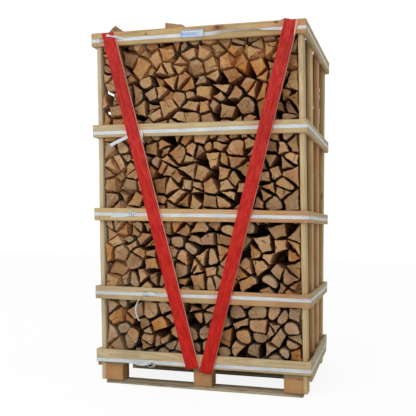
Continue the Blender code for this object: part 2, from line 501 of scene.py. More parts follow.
def dress(nodes, shader, colour, roughness, height, depth):
    """Join a colour, a roughness and a bump of the given depth in metres to the shader."""
    bump = nodes.add("Bump", {"Height": height, "Distance": depth})
    nodes.give(shader.inputs["Base Color"], colour)
    nodes.give(shader.inputs["Roughness"], roughness)
    nodes.give(shader.inputs["Normal"], bump.outputs[0])


# %% [markdown]
# The rails, slats and pallet boards are cheap pine, straight off the saw and never planed.
# It runs from straw through honey to a ruddy brown, and the piece's warmth picks where on that
# line it is. Late wood in each ring is darker, knots are brown, and the figure stays faint
# because fresh pine is pale. The top rail also has three big knots in known places.

# %% Raw pine


def by_warmth(nodes, warmth, straw, honey, ruddy):
    """A colour on the line from straw through honey to ruddy brown."""
    doubled = nodes.times(warmth, 2.0)
    first_half = nodes.mix(doubled, straw, honey)
    return nodes.mix(nodes.minus(doubled, 1.0), first_half, ruddy)


def build_raw_pine(name, early_colours, late_colours, figure_strength, big_knots=None):
    """Sawn pine, from the three colours that its early and its late wood can have.

    A list of big knots makes it the pine of the front rails, which caught some red paint.
    """
    material, nodes, shader = new_material(name, Specular_IOR_Level=0.25)
    grain, look, place = nodes.coordinates()
    figure = nodes.group(
        timber_figure, {"Grain": grain, "Ring Width": 0.0065, "Wander": 0.030, "Knottiness": 0.42}
    )
    marks = nodes.group(handling_marks, {"Grain": grain, "Place": place})
    sawn = nodes.group(
        saw_marks, {"Along": nodes.split(grain)[0], "Place": place, "Spacing": 0.0045}
    )
    wear = nodes.group(worn_arris, {"Arris": nodes.attribute("arris"), "Place": place})
    warmth = nodes.split(look)[1]
    early = by_warmth(nodes, warmth, *early_colours)
    late = by_warmth(nodes, warmth, *late_colours)
    colour = nodes.stained(
        early,
        (figure["Rings"], figure_strength, late),
        (figure["Fibres"], 0.22, late),
        (figure["Knots"], 0.8, (122, 78, 46)),
    )
    colour = own_tone(nodes, colour, look, place, 0.45, 0.35)
    colour = nodes.stained(
        colour,
        (marks["Grime"], 0.30, (136, 122, 92)),
        (marks["Specks"], 0.35, (84, 62, 44)),
        (wear["Mask"], 0.30, (120, 100, 72)),
    )
    if big_knots:
        ragged = nodes.times(nodes.noise(place, 60.0, 3.0), 0.9)
        sprayed = nodes.group(paint_overspray, {"Place": place})["Mask"]
        colour = nodes.stained(colour, (sprayed, 0.48, (216, 112, 102)))
        for x, z, half_width, half_height in big_knots:
            offset = nodes.vector("SUBTRACT", place, (x, FRONT_PLANE, z))
            offset = nodes.vector("DIVIDE", offset, (half_width, 1.0, half_height))
            length = nodes.plus(nodes.length(offset), ragged)
            stained, core = nodes.between(length, 1.6, 1.0), nodes.between(length, 1.0, 0.7)
            colour = nodes.stained(colour, (stained, 0.7, (158, 92, 62)), (core, 0.7, (98, 54, 42)))
    height = nodes.plus(figure["Relief"], nodes.times(sawn["Marks"], 0.35))
    roughness = nodes.between(figure["Fibres"], 0.2, 0.8, 0.66, 0.86)
    dress(nodes, shader, colour, roughness, height, 0.0007)
    return material


print("the recipe for pine takes a straw, a honey and a ruddy colour")

# %% [markdown]
# The recipe is used five times: plain pine, the same with splashes of paint on it and made
# paler as painted light, the front rails with their knots, the darker sawn ends, and the orange
# blocks of the pallet. Each takes three colours for its early wood and three for its late wood,
# from straw to ruddy.

# %% Kinds of pine
PINE_EARLY = ((212, 195, 158), (212, 182, 130), (208, 154, 108))
PINE_LATE = ((184, 158, 116), (180, 144, 90), (170, 116, 74))
BIG_KNOTS = (  # place along the top rail, height, half width, half height
    (0.070, 1.948, 0.046, 0.019),
    (-0.335, 1.939, 0.013, 0.007),
    (0.383, 1.957, 0.014, 0.008),
)
raw_pine = build_raw_pine("raw_pine", PINE_EARLY, PINE_LATE, 0.55)
# paler than bare pine: painted light on the narrow sides of the red boards, which get little of the
# lamp's light; the pink is spilt paint
splashed_pine_painted_light = build_raw_pine(
    "splashed_pine_painted_light",
    ((240, 212, 190), (240, 202, 176), (232, 180, 152)),
    ((222, 176, 150), (218, 162, 134), (206, 136, 108)),
    0.55,
)
front_pine = build_raw_pine("front_pine", PINE_EARLY, PINE_LATE, 0.65, BIG_KNOTS)
pine_end_grain = build_raw_pine(
    "pine_end_grain",
    ((178, 152, 104), (178, 144, 96), (174, 128, 86)),
    ((128, 102, 64), (126, 94, 58), (122, 80, 50)),
    0.80,
)
block_wood = build_raw_pine(
    "block_wood",
    ((206, 164, 116), (204, 154, 104), (200, 142, 92)),
    ((172, 126, 82), (166, 114, 70), (156, 102, 62)),
    0.65,
)
print("raw, splashed and front-rail pine, end grain and block wood are made")

# %% [markdown]
# Bark is rough, dark and fissured. Its plates are long cells, stretched along the trunk, with
# deep cracks between them and a dusting of grey lichen on the plates. The cracks are drawn
# near black, as painted shade in the fissures.

# %% Bark
bark, nodes, shader = new_material("bark", Specular_IOR_Level=0.15)
grain, look, place = nodes.coordinates()
plate_place = nodes.vector("MULTIPLY", grain, (16.0, 75.0, 75.0))
plate_place = nodes.vector("ADD", plate_place, nodes.noise(place, 40.0, 2.0))
plates = nodes.add("TexVoronoi", {"Vector": plate_place, "Scale": 1.0}, feature="DISTANCE_TO_EDGE")
shaded_crack = nodes.between(plates.outputs["Distance"], 0.22, 0.02)
rough = nodes.noise(place, 130.0, 4.0, 0.65)
lichen = nodes.between(nodes.noise(place, 30.0, 3.0), 0.52, 0.70)
colour = nodes.mix(rough, (92, 60, 38), (140, 104, 70))
# the near-black in the cracks is painted shade
colour = nodes.stained(colour, (lichen, 0.30, (142, 130, 106)), (shaded_crack, 0.8, (40, 24, 14)))
colour = own_tone(nodes, colour, look, place, 0.5, 0.4)
height = nodes.minus(rough, shaded_crack)
dress(nodes, shader, colour, nodes.between(rough, 0.2, 0.8, 0.82, 0.98), height, 0.003)
report("bark", bark.node_tree)

# %% [markdown]
# The two slanted boards are brushed with red paint on their faces only. It is thin: the
# grain reads through it, it soaked in unevenly, and it has dark specks of dirt. It turns a
# pinker red towards the top, and bare wood shows where a corner was knocked.

# %% Red paint
red_paint, nodes, shader = new_material("red_paint", Specular_IOR_Level=0.12)
grain, look, place = nodes.coordinates()
figure = nodes.group(
    timber_figure, {"Grain": grain, "Ring Width": 0.008, "Wander": 0.030, "Knottiness": 0.45}
)
marks = nodes.group(handling_marks, {"Grain": grain, "Place": place})
wear = nodes.group(worn_arris, {"Arris": nodes.attribute("arris"), "Place": place})
soak = nodes.between(nodes.streaks(grain, (16.0, 60.0, 60.0), 5.0, 0.65), 0.34, 0.66)
# a pinker red higher up
higher_up = nodes.between(nodes.split(place)[2], 0.2, 1.9)
thick = nodes.mix(higher_up, (186, 24, 18), (180, 34, 32))
thin = nodes.mix(higher_up, (220, 50, 40), (216, 70, 64))
colour = nodes.mix(soak, thick, thin)
patch = nodes.streaks(grain, (26.0, 40.0, 40.0), 3.0)
orange, crimson = nodes.between(patch, 0.52, 0.66), nodes.between(patch, 0.48, 0.34)
colour = nodes.stained(
    colour,
    (orange, 0.40, (196, 52, 22)),
    (crimson, 0.40, (202, 32, 50)),
    (figure["Rings"], 0.16, (150, 22, 20)),
    (figure["Knots"], 0.7, (108, 26, 22)),
    (marks["Grime"], 0.30, (138, 38, 32)),
)
dirt = nodes.between(nodes.noise(place, 75.0, 4.0, 0.7), 0.56, 0.68)
colour = nodes.stained(
    colour, (dirt, 0.42, (108, 26, 24)), (wear["Mask"], 0.55, (206, 150, 112))
)
roughness = nodes.between(soak, 0.0, 1.0, 0.60, 0.85)
dress(nodes, shader, colour, roughness, figure["Relief"], 0.0006)
report("red paint", red_paint.node_tree)

# %% [markdown]
# The bands are white woven plastic. Long threads run with the band and are bound by
# cross threads every few millimetres, which is a fine check in the height and a faint one in
# the colour. Dust and scuffs take the shine off in places.

# %% Band plastic
THREAD_SPACING = 0.0018
BINDING_SPACING = 0.006
band_plastic, nodes, shader = new_material("band_plastic", Specular_IOR_Level=0.45)
grain, place = nodes.attribute("grain"), nodes.place()
marks = nodes.group(handling_marks, {"Grain": grain, "Place": place})
along, across, _ = nodes.split(grain)
threads = nodes.math("SINE", nodes.times(across, 2 * math.pi / THREAD_SPACING))
binding = nodes.math("SINE", nodes.times(along, 2 * math.pi / BINDING_SPACING))
weave = nodes.larger(threads, binding)
shade = nodes.streaks(grain, (9.0, 60.0, 60.0))
colour = nodes.mix(nodes.between(shade, 0.3, 0.7), (214, 225, 232), (238, 244, 246))
colour = nodes.mix(nodes.between(weave, 0.2, -0.6, 0.0, 0.22), colour, (150, 166, 184))
sprayed = nodes.group(paint_overspray, {"Place": place})["Mask"]
colour = nodes.stained(
    colour,
    (marks["Grime"], 0.35, (176, 178, 172)),
    (marks["Scuffs"], 0.25, (148, 146, 140)),
    (sprayed, 0.30, (222, 140, 140)),
)
roughness = nodes.between(marks["Grime"], 0.0, 1.0, 0.34, 0.60)
dress(nodes, shader, colour, roughness, weave, 0.00025)
report("band plastic", band_plastic.node_tree)

# %% [markdown]
# The ticket is a blank card with a frame, ruled lines and one tinted box, as on any stock form.
# Its coordinates run from its left edge and from its foot, so a rule is simply a narrow range
# of height, and the frame is a narrow range of distance from the middle.

# %% Label card
CARD_MIDDLE = (0.064, 0.0205)
RULE_SPACING = 0.0105
UPRIGHT_RULE = 0.040
BOX_HEIGHT = 0.0185
label_card, nodes, shader = new_material("label_card", Specular_IOR_Level=0.3)
grain, place = nodes.attribute("grain"), nodes.place()
marks = nodes.group(handling_marks, {"Grain": grain, "Place": place})
across, up, _ = nodes.split(grain)
between_rules = nodes.math("FRACT", nodes.math("DIVIDE", up, RULE_SPACING))
rules = nodes.between(nodes.apart(between_rules, 0.5), 0.20, 0.13)
upright_rule = nodes.between(nodes.apart(across, UPRIGHT_RULE), 0.0012, 0.0008)
ruled = nodes.larger(rules, upright_rule)
frame_sides = nodes.between(nodes.apart(across, CARD_MIDDLE[0]), 0.0570, 0.0590)
frame_ends = nodes.between(nodes.apart(up, CARD_MIDDLE[1]), 0.0155, 0.0175)
framed = nodes.larger(frame_sides, frame_ends)
fibre = nodes.noise(place, 420.0, 2.0)
colour = nodes.mix(fibre, (194, 216, 238), (214, 232, 250))
pale = nodes.larger(nodes.between(across, 0.100, 0.104), nodes.between(up, 0.030, 0.032))
colour = nodes.stained(colour, (pale, 0.6, (238, 244, 252)))
in_box = nodes.between(nodes.apart(up, BOX_HEIGHT), 0.0070, 0.0055)
in_box = nodes.times(nodes.between(across, 0.086, 0.082), in_box)
colour = nodes.stained(
    colour,
    (in_box, 0.70, (162, 186, 234)),
    (ruled, 0.50, (100, 124, 160)),
    (framed, 0.55, (108, 132, 164)),
    (marks["Grime"], 0.25, (170, 172, 168)),
)
dress(nodes, shader, colour, nodes.between(fibre, 0.3, 0.7, 0.55, 0.75), fibre, 0.0001)
report("label card", label_card.node_tree)

# %% [markdown]
# Nails and wire buckles are cheap steel that has stood outdoors: dull, a little blotchy, with
# brown rust where the zinc has gone. Metal is a separate mask, because rust isn't metallic.

# %% Dull steel
dull_steel, nodes, shader = new_material("dull_steel", Specular_IOR_Level=0.5)
place = nodes.place()
marks = nodes.group(handling_marks, {"Grain": place, "Place": place})
blotch = nodes.noise(place, 160.0, 3.0, 0.6)
rust = nodes.between(blotch, 0.54, 0.66)
colour = nodes.mix(blotch, (104, 104, 106), (168, 170, 170))
colour = nodes.mix(rust, colour, (108, 66, 40))
colour = nodes.stained(colour, (marks["Grime"], 0.4, (96, 88, 76)))
nodes.give(shader.inputs["Metallic"], nodes.between(rust, 0.0, 1.0, 0.70, 0.0))
dress(nodes, shader, colour, nodes.between(rust, 0.0, 1.0, 0.42, 0.85), blotch, 0.0003)
report("dull steel", dull_steel.node_tree)

# %% [markdown]
# A log's sawn end is the richest surface here. It has year rings round its own pith, a darker
# heart, cracks that open along the radius as it dries, straight saw marks, yellow and pink
# patches, and paler sapwood under the bark, where the attribute arris is 1.
# The angle round the pith gives the cracks: a thin band of angle, present only where noise
# allows it, and drawn dark as painted shade inside the open crack. Some logs are fresh and
# orange, others dry and greyish, as their look says.

# %% Sawn ends of the logs
log_end, nodes, shader = new_material("log_end", Specular_IOR_Level=0.2)
grain, look, place = nodes.coordinates()
figure = nodes.group(
    timber_figure, {"Grain": grain, "Ring Width": 0.0048, "Wander": 0.010, "Knottiness": 0.0}
)
marks = nodes.group(handling_marks, {"Grain": grain, "Place": place})
wear = nodes.group(worn_arris, {"Arris": nodes.attribute("arris"), "Place": place})
_, side, rise = nodes.split(grain)
sawn_along = nodes.plus(nodes.times(side, 0.6), rise)
sawn = nodes.group(saw_marks, {"Along": sawn_along, "Place": grain, "Spacing": 0.0035})
angle = nodes.math("ARCTAN2", rise, side)
warp = nodes.times(nodes.noise(grain, 30.0, 2.0), 0.5)
spokes = nodes.math("SINE", nodes.times(nodes.plus(angle, warp), 7.0))
opened = nodes.between(nodes.noise(grain, 15.0, 1.0), 0.46, 0.54)
shaded_crack = nodes.times(nodes.between(spokes, 0.975, 0.995), opened)
radius = nodes.length(nodes.vector("MULTIPLY", grain, (0.0, 1.0, 1.0)))
radius = nodes.plus(radius, nodes.times(nodes.noise(grain, 22.0, 2.0), 0.016))
heart = nodes.between(radius, 0.062, 0.040)
years = nodes.add("TexNoise", {"W": radius, "Scale": 95.0, "Detail": 3.0}, noise_dimensions="1D")
years = nodes.between(years.outputs[0], 0.38, 0.64)
blotch = nodes.between(nodes.noise(place, 38.0, 4.0, 0.62), 0.40, 0.66)
warmth = nodes.split(look)[1]
early = nodes.mix(warmth, (208, 170, 124), (214, 158, 92))
late = nodes.mix(warmth, (156, 110, 70), (168, 104, 52))
colour = nodes.stained(
    early,
    (figure["Rings"], 0.50, late),
    (years, 0.50, late),
    (heart, 0.40, (172, 114, 70)),
    (blotch, 0.40, late),
)
tint = nodes.noise(place, 26.0, 3.0)
yellow, pink = nodes.between(tint, 0.50, 0.66), nodes.between(tint, 0.50, 0.34)
colour = nodes.stained(
    colour,
    (yellow, 0.35, (198, 162, 90)),
    (pink, 0.30, (190, 130, 100)),
    (sawn["Marks"], 0.16, late),
    (marks["Grime"], 0.24, (112, 84, 60)),
)
colour = own_tone(nodes, colour, look, place, 0.50, 0.45)
# the dark of the cracks is painted shade
colour = nodes.stained(
    colour, (wear["Mask"], 0.40, (212, 184, 148)), (shaded_crack, 0.90, (44, 27, 16))
)
height = nodes.plus(figure["Rings"], nodes.times(sawn["Marks"], 0.8))
height = nodes.minus(height, nodes.times(shaded_crack, 3.0))
roughness = nodes.between(blotch, 0.0, 1.0, 0.72, 0.92)
dress(nodes, shader, colour, roughness, height, 0.0008)
report("log ends", log_end.node_tree)

# %% [markdown]
# Where the axe split a log, long fibres were torn apart. The face is silky and streaky along
# the log, with ridges much deeper than on sawn wood.

# %% Split faces of the logs
log_split, nodes, shader = new_material("log_split", Specular_IOR_Level=0.25)
grain, look, place = nodes.coordinates()
figure = nodes.group(
    timber_figure, {"Grain": grain, "Ring Width": 0.006, "Wander": 0.020, "Knottiness": 0.25}
)
marks = nodes.group(handling_marks, {"Grain": grain, "Place": place})
torn = nodes.streaks(grain, (5.0, 90.0, 90.0), 4.0, 0.6)
warmth = nodes.split(look)[1]
early = nodes.mix(warmth, (186, 140, 94), (190, 132, 74))
late = nodes.mix(warmth, (142, 92, 54), (146, 86, 42))
colour = nodes.mix(nodes.between(torn, 0.3, 0.7), early, late)
colour = nodes.stained(
    colour,
    (figure["Knots"], 0.8, (92, 58, 36)),
    (marks["Grime"], 0.35, (112, 86, 62)),
    (marks["Scuffs"], 0.30, (98, 68, 44)),
)
colour = own_tone(nodes, colour, look, place, 0.6, 0.4)
height = nodes.plus(torn, nodes.times(figure["Relief"], 0.25))
dress(nodes, shader, colour, nodes.between(torn, 0.2, 0.8, 0.62, 0.88), height, 0.0022)
report("split faces", log_split.node_tree)

# %% [markdown]
# Every piece is made the same way: points, faces, a material for each face, and the
# attributes that the materials read. Writing meshes straight from arrays is quick and exact,
# which matters with a thousand logs. Faces marked flat stay crisp; the rest are shaded smooth,
# and where they meet at a sharp angle, the edge can be kept as a crease.

# %% From points to a piece


def make_piece(name, points, faces, materials, face_materials, attributes, flat=None,
               crease=None):
    """Build a mesh object from upright points, lean it, and let it ride on the crate.

    Edges that bend by more than crease, in degrees, are shaded sharp.
    """
    mesh = bpy.data.meshes.new(name)
    mesh.from_pydata(leaned(points).tolist(), [], faces)
    for material in materials:
        mesh.materials.append(material)
    face_materials = np.broadcast_to(face_materials, len(faces)).astype(np.int32)
    mesh.polygons.foreach_set("material_index", face_materials)
    smooth = np.ones(len(faces), bool) if flat is None else ~np.array(flat, bool)
    mesh.polygons.foreach_set("use_smooth", smooth)
    for label, values in attributes.items():
        layer = mesh.attributes.new(label, "FLOAT_VECTOR", "POINT")
        layer.data.foreach_set("vector", np.array(values, np.float32).ravel())
    mesh.update()
    if crease is not None:
        mesh.set_sharp_from_angle(angle=math.radians(crease))
    piece = bpy.data.objects.new(name, mesh)
    scene.collection.objects.link(piece)
    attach(piece, "root")
    return piece


# %% [markdown]
# Boards, bands, wires, nail heads and logs are all tubes: rings of points, each ring with the
# same number of them, joined by quads and closed by a face at each end. What differs is only
# the shape of the rings, so the numbering of faces is written once.

# %% Faces of a tube


def tube_faces(rows, columns, closed_rows=False):
    """Quads that join rings of points: each ring has the same number of columns."""
    faces = []
    for row in range(rows if closed_rows else rows - 1):
        upper = (row + 1) % rows
        for column in range(columns):
            beside = (column + 1) % columns
            faces.append((
                row * columns + column,
                row * columns + beside,
                upper * columns + beside,
                upper * columns + column,
            ))
    return faces


def end_caps(rows, columns):
    """The faces that close a tube at its first and at its last ring."""
    first = tuple(range(columns))
    return [first[::-1], tuple((rows - 1) * columns + i for i in first)]


def shifted(faces, count):
    """The same faces, for points that come count places later."""
    return [tuple(i + count for i in face) for face in faces]


def joined(points, faces, more_points, more_faces):
    """Two sets of points and faces as one."""
    return np.vstack((points, more_points)), faces + shifted(more_faces, len(points))


print("a tube of 5 rings of 8 points:", len(tube_faces(5, 8) + end_caps(5, 8)), "faces")

# %% [markdown]
# A board off the saw isn't a perfect bar. Its faces wander by a fraction of a millimetre, its
# edges by more, and its corners are slightly broken. It could be a cube with a bevel and a
# displace modifier, but then its wander could go outwards into its neighbours. Here the board
# is a row of sections along its length: each is a rectangle whose four sides have moved
# inwards by their own slow wave, with a small flat cut off each corner.

# %% Slow waves
rng = np.random.default_rng(7)
WAVES = ((0.90, 1.0), (0.34, 0.6), (0.13, 0.35), (0.055, 0.18))  # length in metres, share


def slow_wave(positions, depth):
    """A smooth random curve over a length in metres, from 0 to depth."""
    curve = np.zeros(len(positions))
    for wavelength, share in WAVES:
        phase = rng.uniform(0, 2 * math.pi)
        stretch = rng.uniform(0.8, 1.25)
        curve += share * np.sin(2 * math.pi * positions / (wavelength * stretch) + phase)
    return depth * (curve - curve.min()) / max(curve.max() - curve.min(), 1e-9)


# %% [markdown]
# The section's points go round it in order: two at each corner, where the flat is cut, and
# one in the middle of each wide side. Some boards keep the round of the trunk on one corner.
# That corner gets a deeper, wavier cut, and its flat is bark. The board is made lying down,
# from its own foot, and a second step puts it in its place.

# %% A board lying down
SECTION_STEP = 0.028
END_CHAMFER = 0.0015
FACE_WANDER = 0.0006
SECTION_COLUMNS = 10
Wane = namedtuple("Wane", "corner depth start")  # start: how far along it begins, 0 to 1


def loose_board(size, edge_wander, corner, wane):
    """Points along, across and through a board, as rows of sections, with its wane if any."""
    length, width, thickness = size
    count = max(4, round(length / SECTION_STEP))
    inner = np.linspace(0, length, count)[1:-1]
    stops = np.concatenate(([0, END_CHAMFER], inner, [length - END_CHAMFER, length]))
    trim = np.zeros(len(stops))
    trim[0] = trim[-1] = END_CHAMFER
    left = slow_wave(stops, edge_wander) + trim
    right = width - slow_wave(stops, edge_wander) - trim
    under = slow_wave(stops, FACE_WANDER) + trim
    over = thickness - slow_wave(stops, FACE_WANDER) - trim
    cut = [corner + slow_wave(stops, corner) for _ in range(4)]
    if wane:
        wavy = corner + slow_wave(stops, wane.depth)
        grown = np.clip((stops / length - wane.start) / max(1 - wane.start, 0.01), 0, 1) ** 0.7
        cut[wane.corner] = wavy if wane.start <= 0 else corner + wane.depth * grown
    middle = (left + right) / 2
    section = (
        (left + cut[0], under), (middle, under), (right - cut[1], under),
        (right, under + cut[1]), (right, over - cut[2]),
        (right - cut[2], over), (middle, over), (left + cut[3], over),
        (left, over - cut[3]), (left, under + cut[0]),
    )
    points = np.zeros((len(stops), SECTION_COLUMNS, 3))
    for column, (across, through) in enumerate(section):
        points[:, column] = np.stack((stops, across, through), axis=1)
    return points.reshape(-1, 3)


def board_grain(points, size):
    """Coordinates measured from a pith that lies outside the board and runs a little askew."""
    start, slope = rng.uniform(0, 40), rng.uniform(-0.03, 0.03)
    off_centre = rng.uniform(-0.4, 0.4) * size[1]
    below = rng.uniform(0.6, 2.2) * size[2]
    grain = points + (start, -size[1] / 2 - off_centre, below)
    grain[:, 1] += slope * points[:, 0]
    return grain


print("a section has", SECTION_COLUMNS, "points and comes every", SECTION_STEP * 1000, "mm")

# %% [markdown]
# The finished board takes the place of its CAD solid. Faces between two rings of points are
# numbered round the section, so the corner strips are easy to find: they are shaded flat. A
# side can have a finish of its own, and the board may look different at its two ends, so it is
# given a look for each and blends from one to the other.

# %% Fit a board
CORNER_STRIPS = {2: 1, 4: 2, 7: 3, 9: 0}
SIDE_OF_STRIP = (0, 0, 0, 1, 2, 2, 2, 2, 3, 0)
FACE, END, BARK, PAINT = 0, 1, 2, 3


def fit_board(node, place, size, looks, finishes, edge_wander, corner, wane, mirrored,
              side_finish=(FACE, FACE, FACE, FACE)):
    """Build one sawn board instead of a CAD solid. place turns loose points into real ones."""
    loose = loose_board(size, edge_wander, corner, wane)
    rows = len(loose) // SECTION_COLUMNS
    faces = tube_faces(rows, SECTION_COLUMNS)
    materials, flat = [], []
    for index in range(len(faces)):
        row, strip = divmod(index, SECTION_COLUMNS)
        on_corner = CORNER_STRIPS.get(strip)
        on_wane = wane is not None and on_corner == wane.corner
        is_bark = on_wane and wane.start <= 0
        is_bare = on_wane and 0 < wane.start * size[0] <= loose[row * SECTION_COLUMNS, 0]
        finish = side_finish[SIDE_OF_STRIP[strip]]
        materials.append(BARK if is_bark else FACE if is_bare else finish)
        flat.append(on_corner is not None and not is_bark)
    faces += end_caps(rows, SECTION_COLUMNS)
    if mirrored:
        faces = [face[::-1] for face in faces]
    arris = np.zeros((len(loose), 3))
    arris[:SECTION_COLUMNS] = arris[-SECTION_COLUMNS:] = 1.0
    way_along = loose[:, :1] / size[0]
    piece = make_piece(
        "sawn_" + node, place(loose), faces, finishes, materials + [END, END],
        {
            "grain": board_grain(loose, size),
            "look": looks[0] * (1 - way_along) + looks[1] * way_along,
            "arris": arris,
        },
        flat + [True, True],
    )
    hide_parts(node)
    return piece


# %% [markdown]
# Most boards lie along one axis of the crate. The widest of the other two directions becomes
# the board's width, and its ends are as high as those of its solid, since a few rails slope.
# Taking the axes in another order can turn a board inside out, and then its faces are turned
# back.

# %% Put a straight board in its place
UNTURNED = ((0, 1, 2), (1, 2, 0), (2, 0, 1))


def sawn_board(node, along, looks, edge_wander=0.0012, corner=0.0014, wane=None, finishes=None):
    """A board along one axis of the crate, as high at each end as its CAD solid is."""
    low, high = upright_box(node)
    across, through = sorted(
        (axis for axis in range(3) if axis != along), key=lambda axis: low[axis] - high[axis]
    )
    order = (along, across, through)
    corners = righted(node)
    end_heights = [corners[abs(corners[:, 0] - x) < 0.001, 2] for x in (low[0], high[0])]
    under = [heights.min() for heights in end_heights]
    over = [heights.max() for heights in end_heights]

    def place(loose):
        placed = np.zeros_like(loose)
        placed[:, order] = loose
        placed += low
        way_along = (placed[:, 0] - low[0]) / (high[0] - low[0])
        way_up = (placed[:, 2] - low[2]) / (high[2] - low[2])
        bottom = under[0] + (under[1] - under[0]) * way_along
        top = over[0] + (over[1] - over[0]) * way_along
        placed[:, 2] = bottom + (top - bottom) * way_up
        return placed

    finishes = finishes or (raw_pine, pine_end_grain, bark)
    return fit_board(
        node, place, (high - low)[list(order)], looks, finishes, edge_wander, corner, wane,
        mirrored=order not in UNTURNED,
    )


def looks_of(first, last=None, spread=0.12):
    """A board's look at each end: how light, how warm and how weathered, a little changed."""
    change = rng.uniform(-spread, spread, 3) * (1, 1, 0.4)
    return [np.clip(np.array(asked) + change, 0, 1.2) for asked in (first, last or first)]


# %% [markdown]
# The pallet is built like any block pallet: three runners on the ground, nine blocks, three
# stringers across, and deck boards on top. Its timber is older and greyer than the cage. The
# front runner kept a strip of bark along its upper edge, which reads as a dark wavy line.

# %% Pallet
X, Y, Z = 0, 1, 2
RUNNER_WANES = {
    "front": Wane(3, 0.013, 0),
    "middle": Wane(1, 0.006, 0),
    "back": Wane(2, 0.009, 0),
}
for row, wane in RUNNER_WANES.items():
    sawn_board(f"runner_{row}", X, looks_of((0.50, 0.10, 0.75)), wane=wane)
    for column, lightness in (("left", 0.50), ("centre", 0.60), ("right", 0.58)):
        block = sawn_board(
            f"block_{column}_{row}", X, looks_of((lightness, 0.5, 0.0), spread=0.04),
            0.0010, 0.0025, finishes=(block_wood, block_wood),
        )
for column in ("left", "centre", "right"):
    sawn_board(f"stringer_{column}", Y, looks_of((0.35, 0.35, 0.3)))
for number in range(1, 6):
    sawn_board(f"deck_board_{number}", X, looks_of((0.30, 0.35, 0.3)))
print("pallet: 3 runners, 9 blocks, 3 stringers, 5 deck boards")

# %% [markdown]
# The slats stand inside the side rails. They are the waviest boards on the crate, because
# their edges were never squared up. Most are darker and browner at the foot than at the top.
# On the right side that is painted light and shade: the lighter tops stand for the light that
# falls on that side higher up, and the browner feet for warm shade. The third one on the right
# comes from a browner tree.

# %% Slats
SLAT_TONE_AND_LIGHT = {  # the look at the foot and at the top, from the front slat to the back one
    "left": (
        ((0.68, 0.06, 0.22), (0.98, 0.00, 0.44)),
        ((0.50, 0.45, 0.05), (0.70, 0.30, 0.05)),
        ((0.52, 0.55, 0.05), (0.64, 0.35, 0.05)),
        ((0.56, 0.35, 0.10), (0.66, 0.25, 0.10)),
    ),
    "right": (
        # on the right, the lighter tops are painted light and the browner feet painted shade
        ((0.56, 0.46, 0.00), (0.96, 0.16, 0.14)),
        ((0.38, 0.92, 0.00), (1.20, 0.40, 0.00)),
        ((0.86, 0.72, 0.00), (0.66, 0.92, 0.00)),
        ((0.46, 0.50, 0.00), (0.46, 0.46, 0.00)),
    ),
}
for side, slat_tone_and_light in SLAT_TONE_AND_LIGHT.items():
    for number, (foot, top) in enumerate(slat_tone_and_light, start=1):
        sawn_board(f"slat_{side}_{number}", Z, looks_of(foot, top, 0.03), 0.0045, 0.0016)
print("slats: 8")

# %% [markdown]
# Rails run round the cage at five heights. The second and third front rails turn ruddy
# towards their right ends, and the top one is honey-coloured and knotty. A side rail is cut
# from darker and greyer timber than the front rail beside it.

# %% Rails
RAIL_LOOKS = (  # the look at the left end and at the right end, from the lowest ring up
    ((0.57, 0.10, 0.16), (0.55, 0.22, 0.12)),
    ((0.62, 0.20, 0.15), (0.52, 0.98, 0.04)),
    ((0.78, 0.30, 0.08), (0.63, 0.98, 0.04)),
    ((0.60, 0.10, 0.14), (0.56, 0.40, 0.00)),
    ((0.34, 0.40, 0.08), (0.58, 0.66, 0.00)),
)
for number, (left_end, right_end) in enumerate(RAIL_LOOKS, start=1):
    finishes = (front_pine, pine_end_grain, bark)
    sawn_board(f"front_rail_{number}", X, looks_of(left_end, right_end, 0.02), finishes=finishes)
    sawn_board(f"back_rail_{number}", X, looks_of(left_end, right_end))
    for side, (lightness, warmth, weathering) in (("left", left_end), ("right", right_end)):
        wane = Wane(1, 0.010, 0) if number == 1 and side == "right" else None
        asked = (lightness - 0.04, warmth * 0.6, weathering + 0.08)
        sawn_board(f"side_rail_{side}_{number}", Y, looks_of(asked, spread=0.06), wane=wane)
print("rails: 20")

# %% [markdown]
# The red boards stand at a slant, in a V. Their CAD solids are prisms with four corners in
# front view, so a loose board is stretched between those corners: its length runs from foot
# to top, its width from the left corner to the right one. Only the front side is painted, but
# some paint splashed over its narrow sides. Those sides are also made paler than bare pine, as
# painted light, and lighter towards the top. The right board's upper corner was sawn off at a
# slant after painting, and shows the wood.

# %% Red boards
RED_WANES = {"left": None, "right": Wane(2, 0.011, 0.95)}
# how light the narrow sides are is painted light; their warmth is the paint spilt on them
RED_BOARD_TONE_AND_LIGHT = {
    "left": ((0.85, 0.40, 0.0), (1.00, 0.20, 0.0)),
    "right": ((0.45, 1.00, 0.0), (0.85, 0.55, 0.0)),
}
red_board_lines = {}
for side in ("left", "right"):
    node = f"brace_{side}"
    corners = righted(node)
    back, front = corners[:, 1].max(), corners[:, 1].min()
    outline = sorted({(round(x, 5), round(z, 5)) for x, _, z in corners}, key=lambda p: p[1])
    foot_left, foot_right = (np.array(p) for p in sorted(outline[:2]))
    top_left, top_right = (np.array(p) for p in sorted(outline[-2:]))
    red_board_lines[side] = ((foot_left + foot_right) / 2, (top_left + top_right) / 2)
    size = np.array((
        np.linalg.norm(top_left - foot_left), np.linalg.norm(foot_right - foot_left), back - front
    ))

    def place(loose, corners=(foot_left, foot_right, top_left, top_right), size=size, back=back):
        up, over, out = (loose / size).T[:, :, None]
        foot = corners[0] * (1 - over) + corners[1] * over
        top = corners[2] * (1 - over) + corners[3] * over
        flat_place = foot * (1 - up) + top * up
        return np.stack((flat_place[:, 0], back - out[:, 0] * size[2], flat_place[:, 1]), axis=1)

    board = fit_board(
        node, place, size, looks_of(*RED_BOARD_TONE_AND_LIGHT[side], spread=0.05),
        (splashed_pine_painted_light, pine_end_grain, bark, red_paint), edge_wander=0.0008, corner=0.0008,
        wane=RED_WANES[side], mirrored=True, side_finish=(FACE, FACE, PAINT, FACE),
    )


